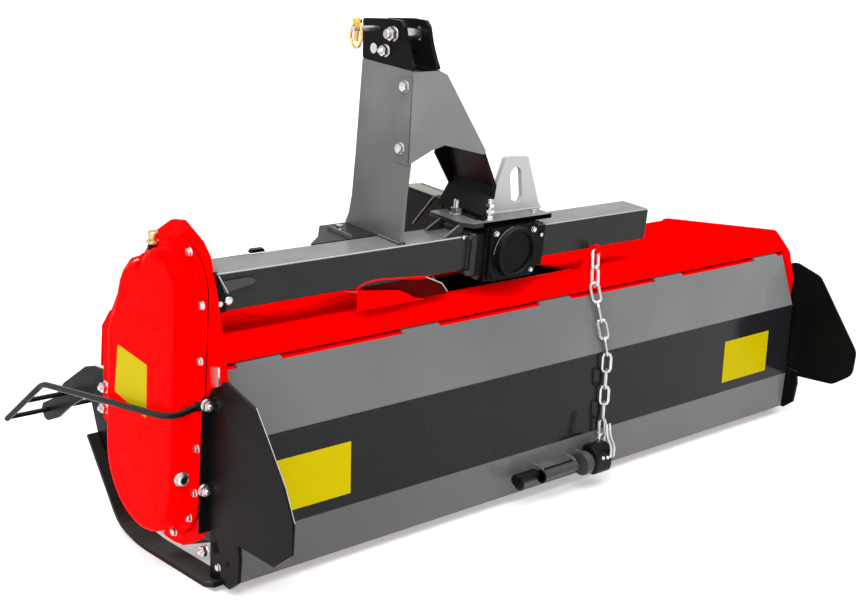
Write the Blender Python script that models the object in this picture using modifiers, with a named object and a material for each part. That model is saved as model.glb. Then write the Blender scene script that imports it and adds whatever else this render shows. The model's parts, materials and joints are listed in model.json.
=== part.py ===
"""A rotary tiller for a tractor's three-point hitch, as it stands parked on its two skids.

Metres, +Z up, +X to the right, +Y forwards to the tractor. The pieces are laid out in the machine's own
frame, whose origin is the middle of the rotor's axis. An empty then leans that frame back as it parks.
"""

import math

import bmesh
import bpy
from mathutils import Matrix, Vector

# The machine as a whole
INNER_WIDTH = 1.584
PARK_LEAN = math.radians(7.5)
AXIS_HEIGHT = 0.200
ORIGIN_X = 0.0
ORIGIN_Y = -0.0863
SEAM = 0.0003
SHEET = 0.004

# Side plates
SIDE_PLATE = 0.008
SIDE_BOTTOM_RADIUS = 0.158
SIDE_REAR = 0.173
SIDE_FRONT = 0.250

# Rotor
ROTOR_RADIUS = 0.182
ROTOR_TUBE_RADIUS = 0.038
ROTOR_END_GAP = 0.012
ROTOR_STUB_RADIUS = 0.020
ROTOR_BORE_GAP = 0.0006
BEARING_RADIUS = 0.070
BEARING_PLATE = 0.014
BEARING_CAP_RADIUS = 0.044
BEARING_CAP_LENGTH = 0.040
BEARING_CAP_TAPER = 0.004
FLANGE_RADIUS = 0.088
FLANGE_THICKNESS = 0.010
FLANGE_COUNT = 7
TINES_PER_SIDE = 3
TINE_THICKNESS = 0.008
TINE_SHANK = 0.036
TINE_BLADE_WIDTH = 0.044
TINE_BLADE_THICKNESS = 0.006
TINE_EDGE_SHARE = 0.3
TINE_BEND_RADIUS = 0.024
TINE_BLADE_LENGTH = 0.072
TINE_ROOT_SHARE = 0.45
TINE_SWEEP = math.radians(22)
TINE_BLADE_SWEEP = math.radians(12)
TINE_TWIST = math.radians(26)
TINE_SINK = 0.001
TINE_END_GAP = 0.016

# Hood
HOOD_RIDGE_Y = -0.098
HOOD_RIDGE_Z = 0.258
HOOD_LIP_Y = -0.140
HOOD_LIP_Z = 0.224
HOOD_FRONT_Y = 0.237
HOOD_FRONT_Z = 0.200
HOOD_NOSE_Y = 0.268
HOOD_NOSE_Z = 0.160
HOOD_APRON_Y = 0.272
HOOD_APRON_Z = 0.078
HOOD_OPENING_LEFT = -0.390
HOOD_OPENING_RIGHT = 0.090
HOOD_OPENING_FRONT = 0.060
HOOD_OPENING_REAR = -0.108
HOOD_OPENING_CORNER = 0.040

# Tailgate
TAILGATE_GAP = 0.014
TAILGATE_UPPER_DROP = 0.120
TAILGATE_KNEE_GAP = 0.014
TAILGATE_MIDDLE_DROP = 0.171
TAILGATE_MIDDLE_RUN = 0.015
TAILGATE_LOWER_DROP = 0.086
TAILGATE_LOWER_RUN = 0.003
TAILGATE_LIP = 0.020
TAILGATE_LIP_DROP = 0.002
HINGE_ROD_RADIUS = 0.006
HINGE_PLAY = 0.0006
KNUCKLE_RADIUS = 0.011
KNUCKLE_LENGTH = 0.090
KNUCKLE_COUNT = 5
KNUCKLE_INSET = 0.020
HINGE_DROP = 0.012
HANDLE_LEFT = -0.156
HANDLE_REACH = 0.022
HANDLE_RADIUS = 0.006
HANDLE_RISE = 0.043
HANDLE_GRIP_LENGTH = 0.060
HANDLE_GRIP_RADIUS = 0.012
KNOB_X = 0.074
KNOB_RADIUS = 0.018
# The three bracket plates that carry the handle, each by the place of its left face
HANDLE_BRACKETS = (-0.086, 0.006, 0.040)
HANDLE_BRACKET_PLATE = 0.004
HANDLE_BRACKET_RADIUS = 0.013

# Beam and gearbox
BEAM_DEPTH = 0.076
BEAM_HEIGHT = 0.068
BEAM_WALL = 0.006
BEAM_CORNER = 0.006
BEAM_Y = -0.085
BEAM_Z = 0.341
BEAM_RIGHT_END = 0.277
BEAM_FLANGE = 0.012
BEAM_FLANGE_MARGIN = 0.010
GEARBOX_X = -0.133
GEARBOX_WIDTH = 0.134
GEARBOX_REAR = -0.132
GEARBOX_FRONT = 0.010
GEARBOX_BOTTOM = 0.278
GEARBOX_TOP = 0.394
GEARBOX_CHEEK = 0.026
COVER_RADIUS = 0.052
COVER_PLATE = 0.008
TOP_PLATE = 0.008
TOP_PLATE_LEFT = -0.285
TOP_PLATE_RIGHT = -0.040
TOP_PLATE_REAR = -0.140
TOP_PLATE_FRONT = -0.030
LUG_X = -0.094
LUG_Y = -0.092
LUG_FOOT = 0.139
LUG_HEAD = 0.060
LUG_HEIGHT = 0.110
LUG_PLATE = 0.010
LUG_SLOT_WIDTH = 0.024
LUG_SLOT_HEIGHT = 0.066

# PTO shaft and its guard
PTO_RADIUS = 0.0175
PTO_SPLINE_DEPTH = 0.0029
PTO_SPLINES = 6
PTO_LENGTH = 0.090
PTO_BOSS_RADIUS = 0.038
PTO_BOSS_LENGTH = 0.022
PTO_Z = 0.336
GUARD_WALL = 0.004
PTO_GUARD_WIDTH = 0.120
PTO_GUARD_LENGTH = 0.128
PTO_GUARD_TOP = 0.418
PTO_GUARD_DROP = 0.110

# Gear case
CASE_RIM = 0.008
CASE_BASE = 0.012
CASE_BODY = 0.040
CASE_RADIUS = 0.122
CASE_RIM_MARGIN = 0.015
CASE_SHOULDER_Z = 0.215
# The front of the case above its shoulder, from the rotor's axis: place forwards and height
CASE_SHOULDER = ((0.104, 0.255), (0.092, 0.285), (0.082, 0.318), (0.070, 0.340), (0.052, 0.354), (0.030, 0.363))
CASE_LOBE_Y = -0.053
CASE_LOBE_Z = 0.338
CASE_LOBE_RADIUS = 0.0685
CASE_EDGE = 0.014
CASE_EDGE_STEPS = 4

# Mast
MAST_X = -0.368
MAST_GAP = 0.048
MAST_PLATE = 0.008
MAST_REAR_FOOT = -0.129
MAST_REAR_HEAD = -0.111
MAST_HEAD_FROM = 0.688
MAST_HEAD_CORNER = 0.010
MAST_LEG_FRONT = 0.0
# The front edge of the mast's left plate above the beam's top, from its foot up: place forwards and height
MAST_FRONT = ((0.052, 0.0), (0.043, 0.019), (0.037, 0.055), (0.034, 0.142), (0.032, 0.312))
# The head plates above their lower edge, from the rear up and round to the front: place forwards and height
MAST_HEAD = ((-0.0943, 0.043), (-0.0786, 0.080), (-0.010, 0.073), (0.037, 0.067))
# The inner face of the mast's right leg from its foot up, as places to the right of the head's right face and heights
MAST_LEG = ((0.131, 0.0), (0.131, 0.010), (0.152, 0.044), (0.155, 0.063), (0.118, 0.134))
MAST_BASE_LENGTH = 0.190
MAST_BASE_DEPTH = 0.096
MAST_BASE_LEFT = -0.520
TOP_PIN_Y = -0.052
TOP_PIN_Z = 0.744
TOP_PIN_RADIUS = 0.0095
TOP_PIN_PAST = 0.034
TOP_PIN_HEAD = 0.008
TOP_PIN_HEAD_GAP = 0.010
TOP_PIN_HEAD_RADIUS = 0.016
TOP_HOLE_Y = 0.005
TOP_HOLE_Z = 0.710
PIN_PLAY = 0.0005
# The sheet behind the mast: place to the right of the mast's left face, and height
REAR_SHEET = (
    (0, 0.526), (0.050, 0.547), (0.080, 0.554), (0.177, 0.530), (0.182, 0.537), (0.078, 0.680), (0.060, 0.6875),
    (0, 0.6865),
)

# Lower hitch arms
LOWER_PIN_SPREAD = 0.683
LOWER_PIN_RADIUS = 0.011
LOWER_PIN_LENGTH = 0.120
LOWER_PIN_Y = 0.200
LOWER_PIN_Z = 0.250
ARM_PLATE = 0.010
ARM_GAP = 0.050
ARM_HEAD_RADIUS = 0.034
CLAMP_PLATE = 0.010
CLAMP_WIDTH = 0.076
CLAMP_MARGIN = 0.014
CLAMP_INSET = 0.004

# Guard in front of the rotor and past the sides
ROD_RADIUS = 0.006
ROD_BEND_RADIUS = 0.020
ROD_CASE_GAP = 0.0057
ROD_START_Y = -0.1330
ROD_START_Z = 0.153
ROD_EYE_RADIUS = 0.0085
ROD_BEND_Y = -0.100
ROD_BEND_Z = 0.134
ROD_CORNER_Y = 0.352
ROD_CORNER_Z = 0.026
ROD_TIP_Y = 0.520
ROD_TIP_Z = -0.112
BAR_RADIUS = 0.005
GUARD_ARM_PLATE = 0.006
GUARD_LEG_WIDTH = 0.040
BAR_UPPER_SHARE = 0.48
BAR_LOWER_SHARE = 0.96
# The guard's arms, from the side plate forwards along the top and back: place forwards and height
GUARD_ARM = (
    (0.220, 0.078), (0.266, 0.071), (0.307, 0.064), (0.337, 0.052), (0.430, -0.016), (0.476, -0.066), (0.527, -0.096),
    (0.534, -0.112), (0.520, -0.127), (0.505, -0.128), (0.459, -0.104), (0.407, -0.061), (0.340, -0.014),
    (0.310, -0.012),
)

# Skids
SKID_WIDTH = 0.045
SKID_THICKNESS = 0.008
SKID_FLAT_REAR = -0.125
SKID_FLAT_FRONT = 0.106
SKID_HEEL_RISE = 0.010
SKID_HEEL_RUN = 0.034
# The toe's corners, each as its run ahead of the sole and its rise above it
SKID_TOE = ((0.079, 0.018), (0.119, 0.073), (0.190, 0.167))
SKID_PAST_SIDE = 0.012
POST_WIDTH = 0.040
POST_PLATE = 0.008

# Deflector wings
WING_PLATE = 0.005
WING_CORNER = 0.030
# The wing's corners behind the side plate: place forwards and height
WING_EDGE = (
    (-0.139, -0.086), (-0.139, 0.178), (-0.168, 0.202), (-0.243, 0.185), (-0.371, 0.037), (-0.372, -0.022),
    (-0.327, -0.060),
)

# Chain
CHAIN_X = 0.104
CHAIN_WIRE = 0.0035
CHAIN_PITCH = 0.0355
CHAIN_INNER_WIDTH = 0.0100
CHAIN_TOUCH = 0.0016
CHAIN_STAND = 0.0135
CHAIN_LINKS_UPPER = 2
CHAIN_LINKS_LOWER = 9
CHAIN_PAST_LIP = -0.001
CHAIN_END_SHARE = 0.50
CHAIN_RISE = 8
BRACKET_PLATE = 0.005
BRACKET_RADIUS = 0.011
BRACKET_EYE_GAP = 0.0015
BRACKET_EYE_SHIFT = 0.0030

HALF_WIDTH = INNER_WIDTH / 2
SIDE_OUTER = HALF_WIDTH + SIDE_PLATE
SKID_OUT = SIDE_OUTER + SKID_PAST_SIDE
CASE_FACE = SIDE_OUTER + SEAM + CASE_BASE + CASE_RIM + CASE_BODY
ROD_OUT = CASE_FACE + ROD_CASE_GAP + ROD_RADIUS


def clear_scene():
    for obj in list(bpy.data.objects):
        bpy.data.objects.remove(obj, do_unlink=True)


def make_collection(name):
    collection = bpy.data.collections.new(name)
    bpy.context.scene.collection.children.link(collection)
    return collection


def make_frame():
    frame = bpy.data.objects.new("machine_frame", None)
    frame.location = (ORIGIN_X, ORIGIN_Y, AXIS_HEIGHT)
    frame.rotation_euler = (PARK_LEAN, 0, 0)
    return frame


def make_material(name, colour, roughness, metallic):
    material = bpy.data.materials.new(name)
    material.use_nodes = True
    shader = material.node_tree.nodes["Principled BSDF"]
    shader.inputs["Base Color"].default_value = (*colour, 1)
    shader.inputs["Roughness"].default_value = roughness
    shader.inputs["Metallic"].default_value = metallic
    material.diffuse_color = (*colour, 1)
    return material


clear_scene()
PARTS = make_collection("rotary_tiller")
CUTTERS = make_collection("cutters")
FRAME = make_frame()
PARTS.objects.link(FRAME)
RED = make_material("red_paint", (0.78, 0.012, 0.016), 0.35, 0.0)
GREY = make_material("grey_paint", (0.11, 0.115, 0.12), 0.35, 0.1)
BLACK = make_material("black_paint", (0.018, 0.018, 0.02), 0.45, 0.0)
LIGHT_GREY = make_material("light_grey_paint", (0.32, 0.33, 0.33), 0.4, 0.1)
ZINC = make_material("zinc", (0.62, 0.63, 0.64), 0.3, 0.9)
STEEL = make_material("bare_steel", (0.35, 0.34, 0.33), 0.45, 0.8)


# Outlines

def arc(centre, radius, start, end, steps):
    """Points on an arc, angles in degrees from the first axis towards the second."""
    angles = [math.radians(start + (end - start) * i / steps) for i in range(steps + 1)]
    return [(centre[0] + radius * math.cos(a), centre[1] + radius * math.sin(a)) for a in angles]


def circle(centre, radius, steps):
    return arc(centre, radius, 0, 360, steps)[:-1]


def rounded(corners, radius, steps=4):
    """The outline through these corners, each rounded by an arc of this radius, or shorter where a side is short."""
    points = []
    count = len(corners)
    for i, corner in enumerate(corners):
        here = Vector(corner)
        before = Vector(corners[i - 1]) - here
        after = Vector(corners[(i + 1) % count]) - here
        half = before.angle(after) / 2
        reach = min(radius / math.tan(half), 0.45 * before.length, 0.45 * after.length)
        first = here + before.normalized() * reach
        last = here + after.normalized() * reach
        for k in range(steps + 1):
            t = k / steps
            point = first * (1 - t) ** 2 + here * 2 * t * (1 - t) + last * t ** 2
            points.append((point.x, point.y))
    return points


def strip(path, thickness):
    """The outline of a bent strip: the path, and the same path moved by the thickness to its left."""
    points = [Vector(p) for p in path]
    normals = []
    for a, b in zip(points, points[1:]):
        along = (b - a).normalized()
        normals.append(Vector((-along.y, along.x)))
    moved = [points[0] + normals[0] * thickness]
    for i in range(1, len(points) - 1):
        middle = (normals[i - 1] + normals[i]).normalized()
        moved.append(points[i] + middle * thickness / middle.dot(normals[i]))
    moved.append(points[-1] + normals[-1] * thickness)
    return [tuple(p) for p in points] + [tuple(p) for p in reversed(moved)]


# Solids

def finish(obj, material, collection=None):
    (collection or PARTS).objects.link(obj)
    obj.parent = FRAME
    obj.data.materials.append(material)
    return obj


def mesh_object(name, bm, material, sharp=35):
    bmesh.ops.recalc_face_normals(bm, faces=bm.faces)
    mesh = bpy.data.meshes.new(name)
    bm.to_mesh(mesh)
    bm.free()
    mesh.shade_smooth()
    mesh.set_sharp_from_angle(angle=math.radians(sharp))
    return finish(bpy.data.objects.new(name, mesh), material)


def welded_mesh(curve_object, name, material):
    """The curve object as a mesh in its place, with its caps welded to its sides."""
    bpy.context.scene.collection.objects.link(curve_object)
    graph = bpy.context.evaluated_depsgraph_get()
    mesh = bpy.data.meshes.new_from_object(curve_object.evaluated_get(graph))
    bm = bmesh.new()
    bm.from_mesh(mesh)
    bmesh.ops.transform(bm, matrix=curve_object.matrix_world, verts=bm.verts)
    bmesh.ops.remove_doubles(bm, verts=bm.verts, dist=0.00002)
    bpy.data.meshes.remove(mesh)
    bpy.data.objects.remove(curve_object, do_unlink=True)
    return mesh_object(name, bm, material)


# A flat outline lies across one axis: its first two coordinates are the other two axes in this order.
ACROSS_X = Matrix(((0, 0, 1, 0), (1, 0, 0, 0), (0, 1, 0, 0), (0, 0, 0, 1)))
ACROSS_Y = Matrix(((1, 0, 0, 0), (0, 0, -1, 0), (0, 1, 0, 0), (0, 0, 0, 1)))
ACROSS_Z = Matrix.Identity(4)


def plate(name, outlines, start, end, across, material):
    """A flat plate: the first outline is its edge and the others are its holes. It runs from start to end."""
    curve = bpy.data.curves.new(name, "CURVE")
    curve.dimensions = "2D"
    curve.fill_mode = "BOTH"
    curve.extrude = abs(end - start) / 2
    for outline in outlines:
        spline = curve.splines.new("POLY")
        spline.points.add(len(outline) - 1)
        for point, (u, v) in zip(spline.points, outline):
            point.co = (u, v, 0, 1)
        spline.use_cyclic_u = True
    obj = bpy.data.objects.new(name, curve)
    middle = (start + end) / 2
    if across is ACROSS_Y:
        middle = -middle
    obj.matrix_world = across @ Matrix.Translation((0, 0, middle))
    return welded_mesh(obj, name, material)


def box(name, x, y, z, material):
    bm = bmesh.new()
    bmesh.ops.create_cube(bm, size=1)
    size = Matrix.Diagonal((x[1] - x[0], y[1] - y[0], z[1] - z[0], 1))
    centre = Vector(((x[0] + x[1]) / 2, (y[0] + y[1]) / 2, (z[0] + z[1]) / 2))
    bmesh.ops.transform(bm, matrix=Matrix.Translation(centre) @ size, verts=bm.verts)
    return mesh_object(name, bm, material)


def cylinder(name, start, end, radius, sides, material, end_radius=None):
    start, end = Vector(start), Vector(end)
    along = end - start
    turn = Vector((0, 0, 1)).rotation_difference(along).to_matrix().to_4x4()
    bm = bmesh.new()
    bmesh.ops.create_cone(
        bm, cap_ends=True, segments=sides, radius1=radius,
        radius2=radius if end_radius is None else end_radius, depth=along.length,
    )
    bmesh.ops.transform(bm, matrix=Matrix.Translation((start + end) / 2) @ turn, verts=bm.verts)
    return mesh_object(name, bm, material)


def bent_rod(name, points, radius, material, closed=False, resolution=2):
    curve = bpy.data.curves.new(name, "CURVE")
    curve.dimensions = "3D"
    curve.bevel_depth = radius
    curve.bevel_resolution = resolution
    curve.use_fill_caps = True
    spline = curve.splines.new("POLY")
    spline.points.add(len(points) - 1)
    for point, place in zip(spline.points, points):
        point.co = (*place, 1)
    spline.use_cyclic_u = closed
    return welded_mesh(bpy.data.objects.new(name, curve), name, material)


def smooth_path(corners, radius, steps=4):
    """A route in space through these corners, each rounded off within this distance of it."""
    points = [Vector(corners[0])]
    for before, here, after in zip(corners, corners[1:], corners[2:]):
        here = Vector(here)
        first = Vector(before) - here
        last = Vector(after) - here
        start = here + first.normalized() * min(radius, 0.45 * first.length)
        end = here + last.normalized() * min(radius, 0.45 * last.length)
        for k in range(steps + 1):
            t = k / steps
            points.append(start * (1 - t) ** 2 + here * 2 * t * (1 - t) + end * t ** 2)
    points.append(Vector(corners[-1]))
    return [tuple(p) for p in points]


def as_tool(obj):
    PARTS.objects.unlink(obj)
    CUTTERS.objects.link(obj)
    obj.hide_render = True
    obj.display_type = "WIRE"


def combine(obj, tools, operation):
    for tool in tools:
        modifier = obj.modifiers.new(tool.name, "BOOLEAN")
        modifier.operation = operation
        modifier.object = tool
        as_tool(tool)
    return obj


def cut(obj, *tools):
    return combine(obj, tools, "DIFFERENCE")


def fuse(obj, *tools):
    return combine(obj, tools, "UNION")


def joined(name, objects, material):
    """Separate bodies as one mesh, to be fused to another in one step."""
    bm = bmesh.new()
    for obj in objects:
        bm.from_mesh(obj.data)
        bpy.data.objects.remove(obj, do_unlink=True)
    return mesh_object(name, bm, material)


def mirrored(obj, name):
    """A copy on the other side of the machine's middle."""
    bm = bmesh.new()
    graph = bpy.context.evaluated_depsgraph_get()
    bm.from_mesh(obj.evaluated_get(graph).data)
    bmesh.ops.transform(bm, matrix=Matrix.Diagonal((-1, 1, 1, 1)), verts=bm.verts)
    return mesh_object(name, bm, obj.data.materials[0])


def bevelled(obj, width, segments=2, angle=40):
    modifier = obj.modifiers.new("edges", "BEVEL")
    modifier.width = width
    modifier.segments = segments
    modifier.limit_method = "ANGLE"
    modifier.angle_limit = math.radians(angle)
    return obj


def set_origin(obj, place):
    """Moves the object's origin to this place in the machine's frame, with the mesh left where it is."""
    obj.data.transform(Matrix.Translation(-Vector(place)))
    obj.location = place


def machine_from_ground(y, z):
    """A point given along the ground and above it, both from below the rotor's axis, in the machine's frame."""
    rise = z - AXIS_HEIGHT
    return (
        y * math.cos(PARK_LEAN) + rise * math.sin(PARK_LEAN),
        rise * math.cos(PARK_LEAN) - y * math.sin(PARK_LEAN),
    )


# Where pieces meet
HOOD_LIP = (HOOD_LIP_Y, HOOD_LIP_Z)
CREASE_UPPER = (-ROTOR_RADIUS - TAILGATE_KNEE_GAP, HOOD_LIP_Z - TAILGATE_UPPER_DROP)
CREASE_LOWER = (CREASE_UPPER[0] - TAILGATE_MIDDLE_RUN, CREASE_UPPER[1] - TAILGATE_MIDDLE_DROP)
TAILGATE_BOTTOM = (CREASE_LOWER[0] - TAILGATE_LOWER_RUN, CREASE_LOWER[1] - TAILGATE_LOWER_DROP)
UPPER_ALONG = (Vector(CREASE_UPPER) - Vector(HOOD_LIP)).normalized()
UPPER_INWARD = Vector((-UPPER_ALONG.y, UPPER_ALONG.x))
SHEET_TOP = Vector(HOOD_LIP) + UPPER_ALONG * HINGE_DROP
HINGE = SHEET_TOP + UPPER_INWARD * KNUCKLE_RADIUS
BEAM_REAR = BEAM_Y - BEAM_DEPTH / 2
BEAM_FRONT = BEAM_Y + BEAM_DEPTH / 2
BEAM_TOP = BEAM_Z + BEAM_HEIGHT / 2
BEAM_BOTTOM = BEAM_Z - BEAM_HEIGHT / 2
GEARBOX_LEFT = GEARBOX_X - GEARBOX_WIDTH / 2
GEARBOX_RIGHT = GEARBOX_X + GEARBOX_WIDTH / 2


# Side plates, hood and gear case

# The side plates above the hood's nose, from front to rear: place forwards and height
LEFT_SIDE_TOP = (
    (0.140, 0.300), (0.064, 0.398), (-0.005, 0.437), (-0.050, 0.442), (-0.110, 0.419), (-0.133, 0.368), (-0.160, 0.302),
    (-SIDE_REAR, 0.240),
)
RIGHT_SIDE_TOP = ((HOOD_RIDGE_Y - 0.004, HOOD_RIDGE_Z + 0.005), (-0.150, 0.222), (-SIDE_REAR, 0.160))


def side_outline(top):
    bottom = arc((0, 0), SIDE_BOTTOM_RADIUS, 200, 340, 14)
    corners = [
        (SIDE_FRONT, -0.02), (SIDE_FRONT + 0.014, HOOD_NOSE_Z), (HOOD_FRONT_Y, HOOD_FRONT_Z + 0.006),
        *top, (-SIDE_REAR, -0.010),
    ]
    return bottom + rounded(corners, 0.020, 3)


def make_side_plates():
    bore = circle((0, 0), ROTOR_STUB_RADIUS + ROTOR_BORE_GAP, 24)
    rod_hole = circle(HINGE, HINGE_ROD_RADIUS + HINGE_PLAY, 12)
    left = plate("side_plate_left", [side_outline(LEFT_SIDE_TOP), bore, rod_hole], -SIDE_OUTER, -HALF_WIDTH, ACROSS_X, RED)
    right = plate("side_plate_right", [side_outline(RIGHT_SIDE_TOP), bore, rod_hole], HALF_WIDTH, SIDE_OUTER, ACROSS_X, RED)
    return left, right


def make_hood():
    path = [
        (HOOD_APRON_Y, HOOD_APRON_Z), (HOOD_NOSE_Y, HOOD_NOSE_Z), (HOOD_FRONT_Y, HOOD_FRONT_Z),
        (HOOD_RIDGE_Y, HOOD_RIDGE_Z), HOOD_LIP,
    ]
    edge = HALF_WIDTH - SEAM
    hood = plate("hood", [strip(path, SHEET)], -edge, edge, ACROSS_X, RED)
    opening = rounded(
        [
            (HOOD_OPENING_LEFT, HOOD_OPENING_FRONT), (HOOD_OPENING_LEFT + HOOD_OPENING_CORNER, HOOD_OPENING_REAR),
            (HOOD_OPENING_RIGHT, HOOD_OPENING_REAR), (HOOD_OPENING_RIGHT, HOOD_OPENING_FRONT),
        ],
        0.015,
    )
    cutter = plate("hood_opening", [opening], HOOD_RIDGE_Z - 0.08, HOOD_RIDGE_Z + 0.05, ACROSS_Z, RED)
    return cut(hood, cutter)


def case_outline(grow):
    """The lobed outline of the gear case, grown outwards by this much."""
    radius = CASE_RADIUS + grow
    lobe = CASE_LOBE_RADIUS + grow
    bottom = arc((0, 0), radius, 180, 360, 20)
    front = [(radius, CASE_SHOULDER_Z)] + [(y + grow, z + grow / 2) for y, z in CASE_SHOULDER]
    top = arc((CASE_LOBE_Y, CASE_LOBE_Z), lobe, 14, 172, 16)
    rear = [(-radius, 0.300)]
    return bottom + front + top + rear


def case_sections(root, face):
    """The pressed cover's sections across the machine, from its root outwards, with its edge rounded over."""
    sections = [(root, 0.0)]
    for step in range(CASE_EDGE_STEPS + 1):
        turn = math.pi / 2 * step / CASE_EDGE_STEPS
        sections.append((face - CASE_EDGE * (1 - math.sin(turn)), -CASE_EDGE * (1 - math.cos(turn))))
    return sections


def make_gear_case():
    base = SIDE_OUTER + SEAM
    rim = base + CASE_BASE + CASE_RIM
    flange = plate("gear_case", [case_outline(CASE_RIM_MARGIN)], -rim, -base, ACROSS_X, RED)
    bm = bmesh.new()
    rings = []
    for out, grow in case_sections(rim - CASE_BASE / 4, rim + CASE_BODY):
        rings.append([bm.verts.new((-out, y, z)) for y, z in case_outline(grow)])
    for inner, outer in zip(rings, rings[1:]):
        for i, corner in enumerate(inner):
            after = (i + 1) % len(inner)
            bm.faces.new((corner, outer[i], outer[after], inner[after]))
    bm.faces.new(rings[0])
    bm.faces.new(rings[-1][::-1])
    bmesh.ops.recalc_face_normals(bm, faces=bm.faces)
    return fuse(flange, mesh_object("gear_case_cover", bm, RED))


# Rotor

def tine_stations():
    """The middle line of a tine: run along the axis, radius, heading of the metal and share of its length."""
    root = FLANGE_RADIUS * TINE_ROOT_SHARE
    outer = ROTOR_RADIUS - TINE_BLADE_THICKNESS / 2
    bend = TINE_BEND_RADIUS
    stations = [(0, root, 90, 0), (0, (root + outer - bend) / 2, 90, 0.3), (0, outer - bend, 90, 0.6)]
    for heading in (60, 30, 0):
        turn = math.radians(90 - heading)
        stations.append((bend * (1 - math.cos(turn)), outer - bend * (1 - math.sin(turn)), heading, 0.6 + turn * 0.1))
    stations.append((TINE_BLADE_LENGTH, outer, 0, 1))
    return stations


def make_tine(name, place, side, angle):
    """One bent tine: a shank swept back from the flange, and a blade turned sideways with a thin leading edge."""
    bm = bmesh.new()
    sections = []
    for run, radius, heading, share in tine_stations():
        turn = math.radians(heading)
        flat = 1 - heading / 90
        thick = TINE_THICKNESS + (TINE_BLADE_THICKNESS - TINE_THICKNESS) * flat
        width = TINE_SHANK + (TINE_BLADE_WIDTH - TINE_SHANK) * flat
        swept = angle + TINE_SWEEP * min(1, share / 0.6) ** 2 + TINE_BLADE_SWEEP * max(0, share - 0.6) / 0.4
        section = []
        for edge, face, grow in ((-1, -1, TINE_EDGE_SHARE), (1, -1, 1), (1, 1, 1), (-1, 1, TINE_EDGE_SHARE)):
            out = face * thick / 2 * (grow + (1 - grow) * (1 - flat))
            far = radius + out * math.cos(turn)
            here = swept + edge * width / 2 / radius
            along = place + side * (run - out * math.sin(turn))
            section.append(bm.verts.new((along, far * math.cos(here), far * math.sin(here))))
        sections.append(section)
    for low, high in zip(sections, sections[1:]):
        for i in range(4):
            j = (i + 1) % 4
            bm.faces.new((low[i], low[j], high[j], high[i]))
    bm.faces.new(sections[0])
    bm.faces.new(sections[-1])
    return mesh_object(name, bm, STEEL)


def make_rotor():
    half = HALF_WIDTH - ROTOR_END_GAP
    stub_end = HALF_WIDTH + SIDE_PLATE - 0.002
    tube = cylinder("rotor", (-half, 0, 0), (half, 0, 0), ROTOR_TUBE_RADIUS, 24, STEEL)
    stub = cylinder("rotor_stub", (-stub_end, 0, 0), (stub_end, 0, 0), ROTOR_STUB_RADIUS, 20, STEEL)
    flanges = []
    tines = []
    first = -half + TINE_BLADE_LENGTH + TINE_END_GAP
    pitch = -2 * first / (FLANGE_COUNT - 1)
    for i in range(FLANGE_COUNT):
        place = first + pitch * i
        ends = (place - FLANGE_THICKNESS / 2, 0, 0), (place + FLANGE_THICKNESS / 2, 0, 0)
        flanges.append(cylinder("flange", *ends, FLANGE_RADIUS, 24, STEEL))
        for side in (-1, 1):
            for k in range(TINES_PER_SIDE):
                offset = math.pi / TINES_PER_SIDE if side > 0 else 0
                angle = offset + k * 2 * math.pi / TINES_PER_SIDE + i * TINE_TWIST
                seat = place + side * (FLANGE_THICKNESS / 2 + TINE_THICKNESS / 2 - TINE_SINK)
                tines.append(make_tine(f"tine_{i}_{side}_{k}", seat, side, angle))
    fuse(tube, stub, joined("flanges", flanges, STEEL), joined("tines", tines, STEEL))
    return tube


def make_bearing():
    start = SIDE_OUTER + SEAM
    hub = cylinder("rotor_bearing_right", (start, 0, 0), (start + BEARING_PLATE, 0, 0), BEARING_RADIUS, 32, RED)
    cap = cylinder(
        "bearing_cap", (start, 0, 0), (start + BEARING_CAP_LENGTH, 0, 0), BEARING_CAP_RADIUS, 28, RED,
        BEARING_CAP_RADIUS - BEARING_CAP_TAPER,
    )
    return fuse(hub, cap)


# Beam, gearbox and what stands on them

def tube_outlines():
    half_y, half_z = BEAM_DEPTH / 2, BEAM_HEIGHT / 2
    corners = [(-1, -1), (1, -1), (1, 1), (-1, 1)]
    outer = [(BEAM_Y + a * half_y, BEAM_Z + b * half_z) for a, b in corners]
    inner = [(BEAM_Y + a * (half_y - BEAM_WALL), BEAM_Z + b * (half_z - BEAM_WALL)) for a, b in corners]
    return rounded(outer, BEAM_CORNER, 3), rounded(inner, BEAM_CORNER / 2, 2)


def make_beams():
    outer, inner = tube_outlines()
    flange_left = GEARBOX_LEFT - GEARBOX_CHEEK - SEAM
    left = plate("beam_left", [outer], -HALF_WIDTH + SEAM, flange_left - BEAM_FLANGE / 2, ACROSS_X, GREY)
    margin = BEAM_FLANGE_MARGIN
    flange_edge = [
        (BEAM_REAR - margin, BEAM_BOTTOM - margin), (BEAM_FRONT + margin, BEAM_BOTTOM - margin),
        (BEAM_FRONT + margin, BEAM_TOP + 0.004), (BEAM_REAR - margin, BEAM_TOP + 0.004),
    ]
    flange = plate(
        "beam_flange", [rounded(flange_edge, 0.006, 2)], flange_left - BEAM_FLANGE, flange_left, ACROSS_X, GREY,
    )
    fuse(left, flange)
    bore_left = plate("beam_bore", [inner], -HALF_WIDTH - 0.01, flange_left - BEAM_FLANGE, ACROSS_X, GREY)
    cut(left, bore_left)
    start = GEARBOX_RIGHT + GEARBOX_CHEEK + SEAM
    right = plate("beam_right", [outer], start, BEAM_RIGHT_END, ACROSS_X, GREY)
    hollow = plate("beam_hollow", [inner], start - 0.01, BEAM_RIGHT_END - BEAM_WALL, ACROSS_X, GREY)
    cut(right, hollow)
    return left, right


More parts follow.
